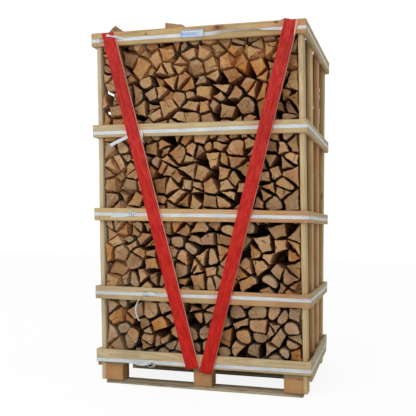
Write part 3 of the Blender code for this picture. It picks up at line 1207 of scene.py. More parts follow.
def red_board_x(side, height):
    """Where the middle of a red board is at a height."""
    foot, top = red_board_lines[side]
    return foot[0] + (top[0] - foot[0]) * (height - foot[1]) / (top[1] - foot[1])


print("red boards: 2")

# %% [markdown]
# A band is a flat ribbon. It could be a curve with a bevel, but a curve can't be twisted
# exactly where one wants. So each ribbon is swept by hand: at every stop along its path it has
# a centre, a direction that its face looks in, and a width. One ribbon function makes the
# long loops, their loose ends and their overlaps.

# %% A flat ribbon
BAND_WIDTH = 0.018
BAND_THICKNESS = 0.0008
RIBBON_SECTION = (  # across the band, and on which side of it
    (-0.5, -1), (-0.17, -1), (0.17, -1), (0.5, -1), (0.5, 1), (0.17, 1), (-0.17, 1), (-0.5, 1),
)


def directions(path, closed):
    """At every stop of a path, the direction in which it goes on."""
    ahead = np.roll(path, -1, 0) - np.roll(path, 1, 0)
    if not closed:
        ahead[0], ahead[-1] = path[1] - path[0], path[-1] - path[-2]
    return ahead / np.linalg.norm(ahead, axis=1)[:, None]


def turned(vectors, axes, angles):
    """Vectors turned about axes, each by its own angle."""
    cosine, sine = np.cos(angles)[:, None], np.sin(angles)[:, None]
    along = (vectors * axes).sum(1)[:, None] * axes
    return vectors * cosine + np.cross(axes, vectors) * sine + along * (1 - cosine)


def ribbon(centres, facing, twist, width=BAND_WIDTH, closed=False):
    """Points, faces and grain of a ribbon through centres, its face turned by twist."""
    ahead = directions(centres, closed)
    facing = facing - (facing * ahead).sum(1)[:, None] * ahead
    facing /= np.linalg.norm(facing, axis=1)[:, None]
    facing = turned(facing, ahead, twist)
    side = np.cross(facing, ahead)
    steps = np.linalg.norm(np.diff(centres, axis=0), axis=1)
    travelled = np.concatenate(([0], np.cumsum(steps)))
    points, grain = [], []
    for across, lift in RIBBON_SECTION:
        points.append(centres + side * across * width + facing * lift * BAND_THICKNESS / 2)
        grain.append(np.stack((travelled, np.full(len(centres), across * width),
                               np.full(len(centres), lift * 0.1)), axis=1))
    points = np.stack(points, axis=1).reshape(-1, 3)
    grain = np.stack(grain, axis=1).reshape(-1, 3)
    faces = tube_faces(len(centres), len(RIBBON_SECTION), closed)
    if not closed:
        faces += end_caps(len(centres), len(RIBBON_SECTION))
    return points, faces, grain


print("band:", BAND_WIDTH * 1000, "mm wide and", BAND_THICKNESS * 1000, "mm thick")

# %% [markdown]
# A loose end is given by a few places only. A Catmull-Rom spline makes a smooth path of them:
# between two places it is a cubic curve, whose direction at each place is that of the line from
# the place before to the place after.

# %% A smooth path
PATH_STOPS = 24


def smooth_path(controls):
    """A smooth curve through a few control points."""
    controls = np.array(controls, float)
    padded = np.vstack((2 * controls[0] - controls[1], controls, 2 * controls[-1] - controls[-2]))
    path = []
    for spot in np.linspace(0, len(controls) - 1 - 1e-9, PATH_STOPS):
        index, t = int(spot), spot - int(spot)
        a, b, c, d = padded[index:index + 4]
        path.append(
            0.5 * (2 * b + (c - a) * t + (2 * a - 5 * b + 4 * c - d) * t * t
                   + (3 * b - a - 3 * c + d) * t ** 3)
        )
    return np.array(path)


print("three places make a path of", len(smooth_path(((0, 0, 0), (1, 0, 1), (2, 0, 0)))), "stops")

# %% [markdown]
# Each band goes once round the cage, outside the rails and behind the red boards. It bends
# over the corners in a small round, and between them it isn't quite straight: it slants with
# its CAD solid, wanders a millimetre or two up and down, and lifts off the wood a little where
# nothing presses on it. The top band turned over once as it was pulled tight, so it shows its
# edge for a hand's width and a half.

# %% Paths of the bands
CORNER_ROUND = 0.003
CORNER_ANGLES = np.radians((18, 36, 54, 72))
STOPS_PER_SIDE = 60
LIFT = 0.0012
BRACE_PRESS, LABEL_PRESS, PRESS_FADE = 0.035, 0.075, 0.06
SWAYS = ((1, 0.0008), (3, 0.0009), (7, 0.0006))  # waves in one round, size in metres


def band_path(node):
    """Centres and outward directions of one band, from the front left corner all round."""
    solid = righted(node)
    reach = solid.max(0)[:2] - BAND_THICKNESS / 2
    left_height, right_height = (
        solid[solid[:, 0] * sign > 0, 2].mean() for sign in (-1, 1)
    )
    height = (left_height + right_height) / 2
    presses = [(red_board_x(side, height), BRACE_PRESS) for side in ("left", "right")]
    presses.append((sum(corner[0] for corner in upright_box("label")) / 2, LABEL_PRESS))
    centres, facing = [], []
    for turn, (out_x, out_y) in enumerate(((0, -1), (1, 0), (0, 1), (-1, 0))):
        run_x, run_y = -out_y, out_x
        half_run = reach[0] if turn % 2 == 0 else reach[1]
        depth = reach[1] if turn % 2 == 0 else reach[0]
        straight = half_run - CORNER_ROUND
        steps = np.linspace(-straight, straight, STOPS_PER_SIDE)
        lift = slow_wave(steps + 1, LIFT) * np.cos(steps / half_run * math.pi / 2) ** 0.5
        if turn == 0:
            for press, half_width in presses:
                lift *= np.clip((np.abs(steps - press) - half_width) / PRESS_FADE, 0, 1)
        for step, away in zip(steps, lift):
            centres.append((run_x * step + out_x * (depth + away),
                            run_y * step + out_y * (depth + away)))
            facing.append((out_x, out_y, 0))
        pivot = (run_x * straight + out_x * (depth - CORNER_ROUND),
                 run_y * straight + out_y * (depth - CORNER_ROUND))
        for angle in CORNER_ANGLES:
            along, out = math.sin(angle), math.cos(angle)
            direction = (run_x * along + out_x * out, run_y * along + out_y * out)
            centres.append((pivot[0] + direction[0] * CORNER_ROUND,
                            pivot[1] + direction[1] * CORNER_ROUND))
            facing.append((*direction, 0))
    centres = np.array(centres)
    steps = np.linalg.norm(np.diff(centres, axis=0, append=centres[:1]), axis=1)
    travelled = np.cumsum(steps) - steps[0]
    total = steps.sum()
    sway = np.zeros(len(centres))
    for waves, size in SWAYS:
        sway += size * np.sin(travelled / total * 2 * math.pi * waves + rng.uniform(0, 6.3))
    way_across = (centres[:, 0] + reach[0]) / (2 * reach[0])
    heights = left_height + (right_height - left_height) * way_across + sway
    return np.column_stack((centres, heights)), np.array(facing, float)


print("a band has", 4 * (STOPS_PER_SIDE + len(CORNER_ANGLES)), "stops on its way round")

# %% [markdown]
# Bands end where they were joined, near the left red board. Each has its own kind of end: a
# stub that sticks out below the rail, a thin tail that hangs edge-on in front of the logs,
# an overlap, or a crumpled knot. These short ends are stiff and stay with their band, so they
# are part of its mesh. Their control points are a few places in the crate's own frame.

# %% Loose ends of the bands
FRONT = -(upright_box("strap_1")[1][1])
BAND_ENDS = {  # for each band: the places on the end's path in mm, its turns, its width
    1: (
        ([(-400, -1, 134.5), (-368, -3, 129), (-336, -6, 124), (-300, -8, 130),
          (-276, -12, 138)],
         (0.0, 0.2, 0.3, -0.3, 0.2), 18),
        ([(-300, -6, 136), (-284, -15, 142), (-262, -18, 147), (-240, -10, 140),
          (-222, -1.5, 137)],
         (0.3, -0.6, -0.9, -0.5, 0.0), 16),
        ([(-300, -8, 128), (-290, -13, 118), (-274, -15, 113), (-258, -12, 119),
          (-250, -6, 128)],
         (0.8, 1.0, 1.2, 1.0, 0.8), 12),
    ),
    2: (
        ([(-322, -1, 505), (-329, -4, 492), (-340, -10, 474), (-351, -16, 449),
          (-354, -18, 427), (-351, -18, 402), (-344, -16, 380), (-334, -14, 364)],
         (1.3, 1.2, 0.7, 0.3, 0.2, 0.2, 0.25, 0.3), 8),
        ([(-318, -1, 509), (-292, -7, 513), (-262, -11, 515), (-232, -6, 509),
          (-205, -1, 508)],
         (0.0, 0.5, -0.2, 0.7, 0.1), 18),
    ),
    3: (
        ([(-498, -1, 942), (-448, -2.6, 941), (-398, -3, 946), (-339, -1, 948)],
         (0.0, 0.05, 0.0, 0.0), 18),
        ([(-396, -1, 972), (-384, -5, 966), (-366, -7, 955), (-335, -5, 952),
          (-300, -1.2, 947)],
         (1.1, 0.9, 0.4, 0.5, 0.1), 13),
    ),
    4: (
        ([(-366, -0.5, 1392), (-395, -2, 1376), (-444, -6, 1353), (-491, -9.5, 1331)],
         (0.0, 0.05, 0.12, 0.15), 18),
        ([(-322, -0.5, 1406), (-309, -5, 1403), (-306.5, -8, 1385), (-303, -9, 1364),
          (-291, -8, 1338)],
         (0.0, 0.1, 0.35, 0.9, 1.2), 16),
    ),
    5: (
        ([(-398, -0.8, 1917), (-422, -6, 1922), (-438, -19, 1927), (-456, -20.5, 1930),
          (-472, -21.5, 1932), (-486, -20.5, 1936), (-499, -19.5, 1938)],
         (0.0, 0.3, 0.5, 0.5, 0.9, 0.2, 0.0), 14),
    ),
}
loose_ends = sum(len(ends) for ends in BAND_ENDS.values())
print("loose ends:", loose_ends)

# %% [markdown]
# The top band is turned over on the front, little by little, so a ribbon of its own turns is
# needed. Past that place its other face shows, round the right side and the back, and where the
# loop closes on the left it is turned back out of sight. While it stands on edge, its middle
# has to come forwards by half its width, or it would cut into the rail.

# %% The turn of the top band
TWIST_PLACES = (0.085, 0.155, 0.335, 0.375, 0.480)
TWIST_TURNS = (0.0, 0.39 * math.pi, 0.53 * math.pi, 0.78 * math.pi, math.pi)
BEHIND_FRONT = -0.47
LEFT_END = -0.59
FORWARD_SHARE, UPWARD_SHARE = 0.45, 0.30


def turn_over(centres, facing):
    """The top band's twist at every stop. Its centres are moved off the wood."""
    on_front = facing[:, 1] < -0.99
    turning = np.interp(centres[:, 0], TWIST_PLACES, TWIST_TURNS)
    twist = np.where(on_front, turning, np.where(centres[:, 1] > BEHIND_FRONT, math.pi, 0))
    twist[(facing[:, 0] > 0.1) & (facing[:, 1] < 0)] = math.pi
    stand_off = np.abs(np.sin(twist)) * on_front * BAND_WIDTH
    centres[:, 1] -= stand_off * FORWARD_SHARE
    centres[:, 2] += stand_off * UPWARD_SHARE
    twist[(facing[:, 0] < -0.1) | ~on_front & (centres[:, 0] < LEFT_END)] = 0
    return twist


print("the top band turns over along", round(TWIST_PLACES[-1] - TWIST_PLACES[0], 3), "m")

# %% [markdown]
# Now each loop and its loose ends become one mesh. The crease keeps the band's edges crisp,
# while its faces stay smooth where it bends.

# %% Bands
for number in range(1, 6):
    node = f"strap_{number}"
    centres, facing = band_path(node)
    twist = turn_over(centres, facing) if number == 5 else np.zeros(len(centres))
    points, faces, grain = ribbon(centres, facing, twist, closed=True)
    for controls, turns, width in BAND_ENDS[number]:
        path = smooth_path(np.array(controls) / 1000 + (0, FRONT, 0))
        bend = np.interp(np.linspace(0, 1, len(path)), np.linspace(0, 1, len(turns)), turns)
        forwards = np.tile((0, -1.0, 0), (len(path), 1))
        more_points, more_faces, more_grain = ribbon(path, forwards, bend, width / 1000)
        points, faces = joined(points, faces, more_points, more_faces)
        grain = np.vstack((grain, more_grain))
    band = make_piece(
        f"band_{number}", points, faces, (band_plastic,), 0, {"grain": grain}, crease=40
    )
    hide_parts(node)
print("bands: 5, with", loose_ends, "loose ends")

# %% [markdown]
# A wire buckle is a bent loop of steel with a bar across its middle, and the band is threaded
# round the bar. A round wire is another sweep: a small ring of points carried along a path.

# %% Wire buckles
WIRE_RADIUS = 0.0012
WIRE_COLUMNS = 8
LOOP_STOPS, BAR_STOPS = 28, 7
ROUNDNESS = 0.45
LOOP_BOW, BAR_FORWARD, BUCKLE_FORWARD = 0.0012, 0.0022, 0.0026


def wire(path, closed):
    """Points and faces of a round wire along a path."""
    path = np.array(path, float)
    ahead = directions(path, closed)
    first = np.cross(ahead, np.tile((0.0, 1.0, 0.02), (len(path), 1)))
    first /= np.linalg.norm(first, axis=1)[:, None]
    second = np.cross(ahead, first)
    rings = []
    for angle in np.arange(WIRE_COLUMNS) * 2 * math.pi / WIRE_COLUMNS:
        rings.append(path + WIRE_RADIUS * (first * math.cos(angle) + second * math.sin(angle)))
    points = np.stack(rings, axis=1).reshape(-1, 3)
    faces = tube_faces(len(path), WIRE_COLUMNS, closed)
    return points, faces if closed else faces + end_caps(len(path), WIRE_COLUMNS)


def squarish(wave):
    """A sine or cosine flattened at its peaks, which makes a rounded box of a circle."""
    return math.copysign(abs(wave) ** ROUNDNESS, wave)


def buckle(name, middle, tilt, length, height):
    """A rounded wire loop with a cross bar, lying against the band and turned by tilt."""
    loop = []
    for angle in np.linspace(0, 2 * math.pi, LOOP_STOPS, endpoint=False):
        x = squarish(math.cos(angle)) * length / 2
        z = squarish(math.sin(angle)) * height / 2
        loop.append((x, -LOOP_BOW * math.cos(2 * angle), z))
    bar = [(0.0, -BAR_FORWARD, z) for z in np.linspace(-height / 2, height / 2, BAR_STOPS)]
    points, faces = joined(*wire(loop, True), *wire(bar, False))
    cosine, sine = math.cos(tilt), math.sin(tilt)
    x, y, z = points.T
    placed = np.stack((x * cosine - z * sine, y, x * sine + z * cosine), axis=1)
    placed += (middle[0], FRONT - BUCKLE_FORWARD, middle[1])
    piece = make_piece(name, placed, faces, (dull_steel,), 0, {"grain": points})
    return piece


buckle("buckle_2", (-0.296, 0.511), tilt=-0.12, length=0.030, height=0.022)
buckle("buckle_3", (-0.375, 0.949), tilt=0.05, length=0.022, height=0.021)
buckle("buckle_5", (-0.535, 1.918), tilt=0.20, length=0.022, height=0.024)
print("wire buckles: 3")

# %% [markdown]
# The ticket is stuck over the top band near the middle. A card this thin never lies dead flat,
# so it ripples a little over the band and its corners curl forwards. It is two sheets of
# points, one for each side, with a rim of quads between them.

# %% Ticket
CARD_COLUMNS, CARD_ROWS = 25, 11
CARD_THICKNESS = 0.0004
CARD_CURL, CARD_RIPPLE, CARD_GAP = 0.0045, 0.0006, 0.0006
low, high = upright_box("label")
points, grain = [], []
for face in (0, 1):
    for z in np.linspace(low[2], high[2], CARD_ROWS):
        for x in np.linspace(low[0], high[0], CARD_COLUMNS):
            u, v = (x - low[0]) / (high[0] - low[0]), (z - low[2]) / (high[2] - low[2])
            curl = CARD_CURL * (2 * abs(u - 0.5)) ** 5 * (0.5 + abs(v - 0.4))
            ripple = CARD_RIPPLE * math.sin(u * 9.0 + v * 3.0)
            y = high[1] - CARD_GAP - curl - ripple - face * CARD_THICKNESS
            points.append((x, y, z))
            grain.append((x - low[0], z - low[2], face * 0.01))
sheet = CARD_COLUMNS * CARD_ROWS
faces = []
for face in (0, 1):
    for row in range(CARD_ROWS - 1):
        for column in range(CARD_COLUMNS - 1):
            first = face * sheet + row * CARD_COLUMNS + column
            quad = (first, first + 1, first + CARD_COLUMNS + 1, first + CARD_COLUMNS)
            faces.append(quad if face else quad[::-1])
numbers = np.arange(sheet).reshape(CARD_ROWS, CARD_COLUMNS)
rim = (numbers[0], numbers[1:, -1], numbers[-1, -2::-1], numbers[-2:0:-1, 0])
rim = np.concatenate(rim).tolist()
for start, end in zip(rim, rim[1:] + rim[:1]):
    faces.append((start, end, end + sheet, start + sheet))
ticket = make_piece("ticket", points, faces, (label_card,), 0, {"grain": grain}, crease=40)
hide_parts("label")
print("ticket:", round((high[0] - low[0]) * 1000), "mm wide")

# %% [markdown]
# Two nails hold each crossing of rail and slat, and two hold each red board to every rail,
# where the paint went over them. Their heads are low domes, and all of them are one mesh.

# %% Nail heads
HEAD_RINGS = ((0.0030, -0.0006), (0.0030, 0.0002), (0.0025, 0.0007), (0.0012, 0.0010))
HEAD_POINTS = 10
STEEL, PAINTED = 0, 1
nail_points, nail_faces, nail_finishes = [], [], []


def add_nail(place, outward, finish=STEEL):
    """One nail head on a surface that faces outward."""
    out = np.array(outward, float)
    level = np.cross(out, (0, 0, 1.0))
    upward = np.cross(level, out)
    shift = len(nail_points)
    turn = rng.uniform(0, 1)
    for radius, lift in HEAD_RINGS:
        for angle in (np.arange(HEAD_POINTS) + turn) * 2 * math.pi / HEAD_POINTS:
            spot = np.array(place) + out * lift
            spot = spot + radius * (level * math.cos(angle) + upward * math.sin(angle))
            nail_points.append(tuple(spot))
    _, dome = end_caps(len(HEAD_RINGS), HEAD_POINTS)
    head = tube_faces(len(HEAD_RINGS), HEAD_POINTS) + [dome]
    nail_faces.extend(face[::-1] for face in shifted(head, shift))
    nail_finishes.extend([finish] * len(head))


print("a nail head has", len(HEAD_RINGS) * HEAD_POINTS, "points")

# %% [markdown]
# Two nails go into every crossing of a rail and a slat, one low and one high, and a carpenter
# keeps them clear of the band. The ones through the red boards are in a row across the board.

# %% Nails
FROM_EDGE = 0.013
FROM_BAND = 0.005
SIDE_OFFSETS = (-0.014, 0.016)
RED_OFFSETS = (-0.012, 0.012)
RED_FROM_FOOT, RED_FROM_TOP = 0.018, 0.020
IN_THE_PAINT = 0.0004


def nail_heights(rail, band):
    """Two heights on a rail that keep clear of its band."""
    low, high = rail[0][2] + FROM_EDGE, rail[1][2] - FROM_EDGE
    band_low, band_high = band[0][2] - FROM_BAND, band[1][2] + FROM_BAND
    if band_low < low < band_high:
        low = band_low
    if band_low < high < band_high:
        high = band_high
    return low, high


for number in range(1, 6):
    band = upright_box(f"strap_{number}")
    for side, sign in (("left", -1), ("right", 1)):
        for face, out in (("front", -1), ("back", 1)):
            rail = upright_box(f"{face}_rail_{number}")
            y = rail[0][1] if out < 0 else rail[1][1]
            slat = upright_box(f"slat_{side}_1")
            x = (slat[0][0] + slat[1][0]) / 2
            for z in nail_heights(rail, band):
                add_nail((x + rng.uniform(-0.004, 0.004), y, z), (0, out, 0))
        rail = upright_box(f"side_rail_{side}_{number}")
        x = rail[0][0] if sign < 0 else rail[1][0]
        for slat_number in range(1, 5):
            slat = upright_box(f"slat_{side}_{slat_number}")
            middle = (slat[0][1] + slat[1][1]) / 2
            for z, offset in zip(nail_heights(rail, band), SIDE_OFFSETS):
                add_nail((x, middle + offset + rng.uniform(-0.006, 0.006), z), (sign, 0, 0))
        rail = upright_box(f"front_rail_{number}")
        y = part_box(f"brace_{side}")[0].y + IN_THE_PAINT
        for z, offset in zip((rail[0][2] + RED_FROM_FOOT, rail[1][2] - RED_FROM_TOP), RED_OFFSETS):
            add_nail((red_board_x(side, z) + offset, y, z), (0, -1, 0), PAINTED)
nails = make_piece(
    "nail_heads", nail_points, nail_faces, (dull_steel, red_paint), nail_finishes,
    {"grain": nail_points}, crease=50,
)
print("nails:", len(nail_points) // (len(HEAD_RINGS) * HEAD_POINTS))

# %% [markdown]
# Now the firewood. Each rank is a wall of logs seen end on, and no two ends are alike. Dropping
# logs with a physics simulation would be slow and pack loosely. Instead the space is
# shared out: seeds are scattered over the wall, and each seed gets the part of the wall that is
# nearest to it. Those parts are convex, fit like paving, and look much like split logs. The
# only tool needed is one that cuts a convex shape along a line.

# %% Cutting convex shapes


def sides_of(outline):
    """Pairs of neighbouring corners, all round."""
    return list(zip(outline, outline[1:] + outline[:1]))


def trimmed(outline, anchor, outward):
    """The part of a convex outline that lies behind the line through anchor."""
    sides = [(x - anchor[0]) * outward[0] + (z - anchor[1]) * outward[1] for x, z in outline]
    kept = []
    for index, (x, z) in enumerate(outline):
        following = (index + 1) % len(outline)
        if sides[index] <= 0:
            kept.append((x, z))
        if sides[index] * sides[following] < 0:
            share = sides[index] / (sides[index] - sides[following])
            next_x, next_z = outline[following]
            kept.append((x + (next_x - x) * share, z + (next_z - z) * share))
    return kept


def area_and_middle(outline):
    """An outline's area and its centre of area."""
    x, z = np.array(outline).T
    crossed = x * np.roll(z, -1) - np.roll(x, -1) * z
    area = crossed.sum() / 2
    if abs(area) < 1e-9:
        return 0.0, (float(x.mean()), float(z.mean()))
    middle_x = ((x + np.roll(x, -1)) * crossed).sum() / (6 * area)
    middle_z = ((z + np.roll(z, -1)) * crossed).sum() / (6 * area)
    return float(area), (float(middle_x), float(middle_z))


def shrunk(outline, margin):
    """An outline with every side moved inwards by margin."""
    smaller = list(outline)
    for (x, z), (next_x, next_z) in sides_of(outline):
        length = math.hypot(next_x - x, next_z - z)
        if length < 1e-9:
            continue
        outward = ((next_z - z) / length, (x - next_x) / length)
        smaller = trimmed(smaller, (x - outward[0] * margin, z - outward[1] * margin), outward)
        if len(smaller) < 3:
            return []
    return smaller


square = [(0, 0), (1, 0), (1, 1), (0, 1)]
print("a square cut in two leaves", area_and_middle(trimmed(square, (0.5, 0), (1, 0)))[0])

# %% [markdown]
# Seeds start as staggered rows, are pushed about at random, and are then moved part of the way
# to the middle of their own share, which evens the sizes out a little. A seed with more weight
# takes more space. The rows are closer where the logs are thinner. Seeds above the pile stand
# for air: their shares are left empty, so the pile gets a natural ragged top.

# %% Sharing out a wall
REACH, NEIGHBOUR_REACH, NEIGHBOURS = 1.4, 2.8, 25  # the first two in widths of a log


def shares_of(seeds, weights, pitch, bounds):
    """For every seed, the convex space nearer to it than to any other, within the walls."""
    x_low, x_high, z_low, _ = bounds
    walls = (((x_low, 0), (-1, 0)), ((x_high, 0), (1, 0)), ((0, z_low), (0, -1)))
    places = np.array(seeds)
    reach = REACH * pitch
    shares = []
    for index, (x, z) in enumerate(seeds):
        share = [(x - reach, z - reach), (x + reach, z - reach), (x + reach, z + reach),
                 (x - reach, z + reach)]
        distances = ((places - places[index]) ** 2).sum(1)
        for other in np.argsort(distances)[1:NEIGHBOURS + 1]:
            if distances[other] > (NEIGHBOUR_REACH * pitch) ** 2:
                break
            step = places[other] - places[index]
            part = 0.5 + 0.5 * (weights[index] - weights[other]) / distances[other]
            share = trimmed(share, (x + step[0] * part, z + step[1] * part), step)
            if len(share) < 3:
                break
        for anchor, outward in walls:
            share = trimmed(share, anchor, outward) if len(share) > 2 else []
        shares.append(share)
    return shares


# %% [markdown]
# The seeds of a whole rank follow. Where the logs are thick, low down in the middle of the
# pile, the rows and the seeds in them are further apart.

# %% Seeds of a rank
LOG_SIZES = ((0.30, 0.078), (0.70, 0.092), (1.15, 0.081), (1.65, 0.086))  # height, width
AIR_ABOVE = 0.15
FIRST_ROW = 0.025
ROW_STEP = 0.86
SCATTER_X, SCATTER_Z, WEIGHT_SPREAD = 0.22, 0.20, 0.22
WALL_GAP = 0.015
SETTLING = 0.35


def scattered_shares(bounds, source):
    """Shares of a wall and of the air round it."""
    x_low, x_high, z_low, z_high = bounds
    seeds, weights, row, z = [], [], 0, z_low + FIRST_ROW
    while z < z_high + AIR_ABOVE:
        pitch = np.interp(z, *zip(*LOG_SIZES))
        x = x_low + (0.25 + 0.5 * (row % 2)) * pitch
        while x < x_high + 0.1 * pitch:
            seed_x = x + source.normal(0, SCATTER_X) * pitch
            seed_x = min(max(seed_x, x_low + WALL_GAP), x_high - WALL_GAP)
            seeds.append((seed_x, z + source.normal(0, SCATTER_Z) * pitch))
            weights.append(source.uniform(-WEIGHT_SPREAD, WEIGHT_SPREAD) * pitch ** 2)
            x += pitch
        z += pitch * ROW_STEP
        row += 1
    widest = max(pitch for _, pitch in LOG_SIZES)
    loose = shares_of(seeds, weights, widest, bounds)
    settled = []
    for seed, share in zip(seeds, loose):
        middle = area_and_middle(share)[1] if len(share) > 2 else seed
        settled.append(tuple(np.array(seed) * (1 - SETTLING) + np.array(middle) * SETTLING))
    return shares_of(settled, weights, widest, bounds)


print("logs are", [round(width * 1000) for _, width in LOG_SIZES], "mm wide, from the foot up")

# %% [markdown]
# A share becomes a log's end. Some stay whole, as round logs; many are simplified to three or
# four sides, as the axe leaves them; the rest keep a run of sides rounded off, which is the
# outside of the trunk with its bark. Simplifying drops the corner whose loss costs least area,
# and every lost corner opens a dark gap between logs, as in a real stack.

# %% Simpler outlines
SHORTEST_SIDE = 0.018


def fewer_corners(outline, keep, locked=()):
    """The corners that stay when the ones that matter least are dropped."""
    kept = list(range(len(outline)))
    while len(kept) > keep:
        losses = []
        for spot, index in enumerate(kept):
            if index in locked:
                continue
            before, here = outline[kept[spot - 1]], outline[index]
            after = outline[kept[(spot + 1) % len(kept)]]
            loss = abs(
                (here[0] - before[0]) * (after[1] - before[1])
                - (after[0] - before[0]) * (here[1] - before[1])
            )
            losses.append((loss, spot))
        if not losses:
            break
        kept.pop(min(losses)[1])
    return kept


def without_short_sides(outline):
    """The outline with its shortest sides merged away."""
    outline = list(outline)
    while len(outline) > 3:
        lengths = [math.dist(*side) for side in sides_of(outline)]
        index = int(np.argmin(lengths))
        if lengths[index] > SHORTEST_SIDE:
            break
        following = (index + 1) % len(outline)
        outline[index] = tuple((np.array(outline[index]) + outline[following]) / 2)
        outline.pop(following)
    return outline


print("sides under", SHORTEST_SIDE * 1000, "mm are merged away")

# %% [markdown]
# Corners can be softened in two ways. A run of straight sides becomes the curve of a trunk
# when its corners are cut off again and again. A split corner is only blunted once, by a few
# millimetres, because thin edges of wood break off.

# %% Softer outlines
ROUNDINGS = 3


def rounded(points, closed):
    """Corners cut again and again until a run of straight sides becomes a curve."""
    points = [np.array(p) for p in points]
    for _ in range(ROUNDINGS):
        finer = [] if closed else [points[0]]
        pairs = list(zip(points, points[1:] + (points[:1] if closed else [])))
        for index, (a, b) in enumerate(pairs):
            if closed or index > 0:
                finer.append(a * 0.75 + b * 0.25)
            if closed or index < len(pairs) - 1:
                finer.append(a * 0.25 + b * 0.75)
        points = finer if closed else finer + [points[-1]]
    return [tuple(p) for p in points]


def blunted(outline, has_bark, cut):
    """Sharp corners between two split sides, cut off by a few millimetres."""
    points, flags = [], []
    for index, here in enumerate(outline):
        before, after = outline[index - 1], outline[(index + 1) % len(outline)]
        if has_bark[index - 1] or has_bark[index]:
            points.append(here)
            flags.append(has_bark[index])
            continue
        for other, flag in ((before, False), (after, has_bark[index])):
            length = max(math.dist(here, other), 1e-6)
            share = min(cut / length, 0.3)
            points.append(tuple(np.array(here) * (1 - share) + np.array(other) * share))
            flags.append(flag)
    return points, flags


print("a rounded square has", len(rounded(square, True)), "corners")

# %% [markdown]
# Shares fit one another exactly, like paving, and logs don't. So each share is turned and
# scaled a little and then cut back to where it was: its sides stop matching those of its
# neighbours, and thin wedges open between them. Then chance picks which kind of log it is.

# %% Shapes of the log ends
TURN_SPREAD = 0.16
SCALES = (0.93, 1.05)
THREE_SIDED, SHORT_BARK, HALF_LOG = 0.45, 0.6, 0.5
LEAST_OF_SPLIT, LEAST_OF_BARKED = 0.58, 0.62  # of a share's area, or it keeps one more corner
SPLIT_BLUNTING, BARKED_BLUNTING = (0.001, 0.005), (0.002, 0.005)


def loosened(share, source):
    """A share turned, scaled and cut back to itself, so that its sides stop matching."""
    middle = np.array(area_and_middle(share)[1])
    angle, scale = source.normal(0, TURN_SPREAD), source.uniform(*SCALES)
    cosine, sine = scale * math.cos(angle), scale * math.sin(angle)
    outline = []
    for corner in share:
        x, z = np.array(corner) - middle
        outline.append((middle[0] + x * cosine - z * sine, middle[1] + x * sine + z * cosine))
    for (x, z), (next_x, next_z) in sides_of(share):
        outline = trimmed(outline, (x, z), (next_z - z, x - next_x))
    return outline


def log_outline(share, source, round_share, split_share):
    """An outline and, for each of its sides, whether it has bark."""
    share = without_short_sides(loosened(share, source))
    corners = len(share)
    chance = source.random()
    if chance < round_share and corners > 4:
        outline = rounded(share, True)
        return outline, [True] * len(outline)
    full_area = area_and_middle(share)[0]
    if chance < round_share + split_share or corners < 5:
        keep = min(3 if source.random() < THREE_SIDED else 4, corners)
        kept = fewer_corners(share, keep)
        if area_and_middle([share[i] for i in kept])[0] < LEAST_OF_SPLIT * full_area:
            kept = fewer_corners(share, min(corners, keep + 1))
        outline = [share[i] for i in kept]
        return blunted(outline, [False] * len(outline), source.uniform(*SPLIT_BLUNTING))
    run = min(3 if source.random() < SHORT_BARK else 4, corners - 1)
    start = int(source.integers(corners))
    outside = [(start + step) % corners for step in range(run)]
    keep = run + (1 if source.random() < HALF_LOG else 2)
    kept = fewer_corners(share, min(keep, corners), outside)
    if area_and_middle([share[i] for i in kept])[0] < LEAST_OF_BARKED * full_area:
        kept = fewer_corners(share, min(keep + 1, corners), outside)
    first = kept.index(outside[0])
    kept = kept[first:] + kept[:first]
    arc = rounded([share[i] for i in kept[:run]], False)
    rest = [share[i] for i in kept[run:]]
    flags = [True] * (len(arc) - 1) + [False] * (len(rest) + 1)
    return blunted(arc + rest, flags, source.uniform(*BARKED_BLUNTING))


print("three-sided split logs:", round(THREE_SIDED * 100), "in a hundred")

# %% [markdown]
# The highest logs of each rank lie on top of the pile and stand out above the rails. At the
# front they are a triangular one, a flat slab and a small rounded one. Their outlines are
# listed one by one, and any share that they overlap is cut back along whichever of their sides
# leaves it most.

# %% Logs on the crown
FRONT_CROWN = (
    ([(-0.530, 1.900), (-0.412, 1.900), (-0.409, 1.955), (-0.471, 2.010), (-0.524, 1.968)], False),
    ([(-0.196, 1.905), (-0.058, 1.905), (-0.036, 1.962), (-0.080, 1.992), (-0.176, 2.006)], False),
    ([(0.444, 1.900), (0.530, 1.900), (0.524, 1.960), (0.504, 1.984), (0.480, 1.990),
      (0.462, 1.983), (0.450, 1.962)], True),
)
MIDDLE_CROWN = (
    ([(-0.395, 1.905), (-0.270, 1.900), (-0.272, 1.955), (-0.330, 1.984), (-0.392, 1.950)], True),
    ([(0.140, 1.905), (0.282, 1.905), (0.262, 1.965), (0.205, 1.978), (0.150, 1.955)], False),
)
BACK_CROWN = (
    ([(-0.175, 1.905), (-0.068, 1.905), (-0.075, 1.950), (-0.120, 1.988), (-0.168, 1.955)], False),
    ([(0.290, 1.905), (0.410, 1.905), (0.402, 1.960), (0.350, 1.981), (0.300, 1.955)], True),
)


def clear_of(share, crown):
    """A share cut back so that it doesn't overlap the crown logs."""
    for outline, _ in crown:
        low, high = np.min(outline, 0), np.max(outline, 0)
        if not share or (np.max(share, 0) < low).any() or (np.min(share, 0) > high).any():
            continue
        best = []
        for (x, z), (next_x, next_z) in sides_of(outline):
            rest = trimmed(share, (x, z), (z - next_z, next_x - x))
            if len(rest) > 2 and (not best or area_and_middle(rest)[0] > area_and_middle(best)[0]):
                best = rest
        share = best
    return share


crowns = [len(crown) for crown in (FRONT_CROWN, MIDDLE_CROWN, BACK_CROWN)]
print("crown logs in the front, middle and back rank:", crowns)

# %% [markdown]
# Daylight must not show through the pile, so some logs swell behind their ends until they fill
# their shares: all of those in the middle rank, the topmost ones, and those against the left
# wall. Two short stretches of that wall stay loose, because there a little light does come
# through. Sides against a wall have bark.

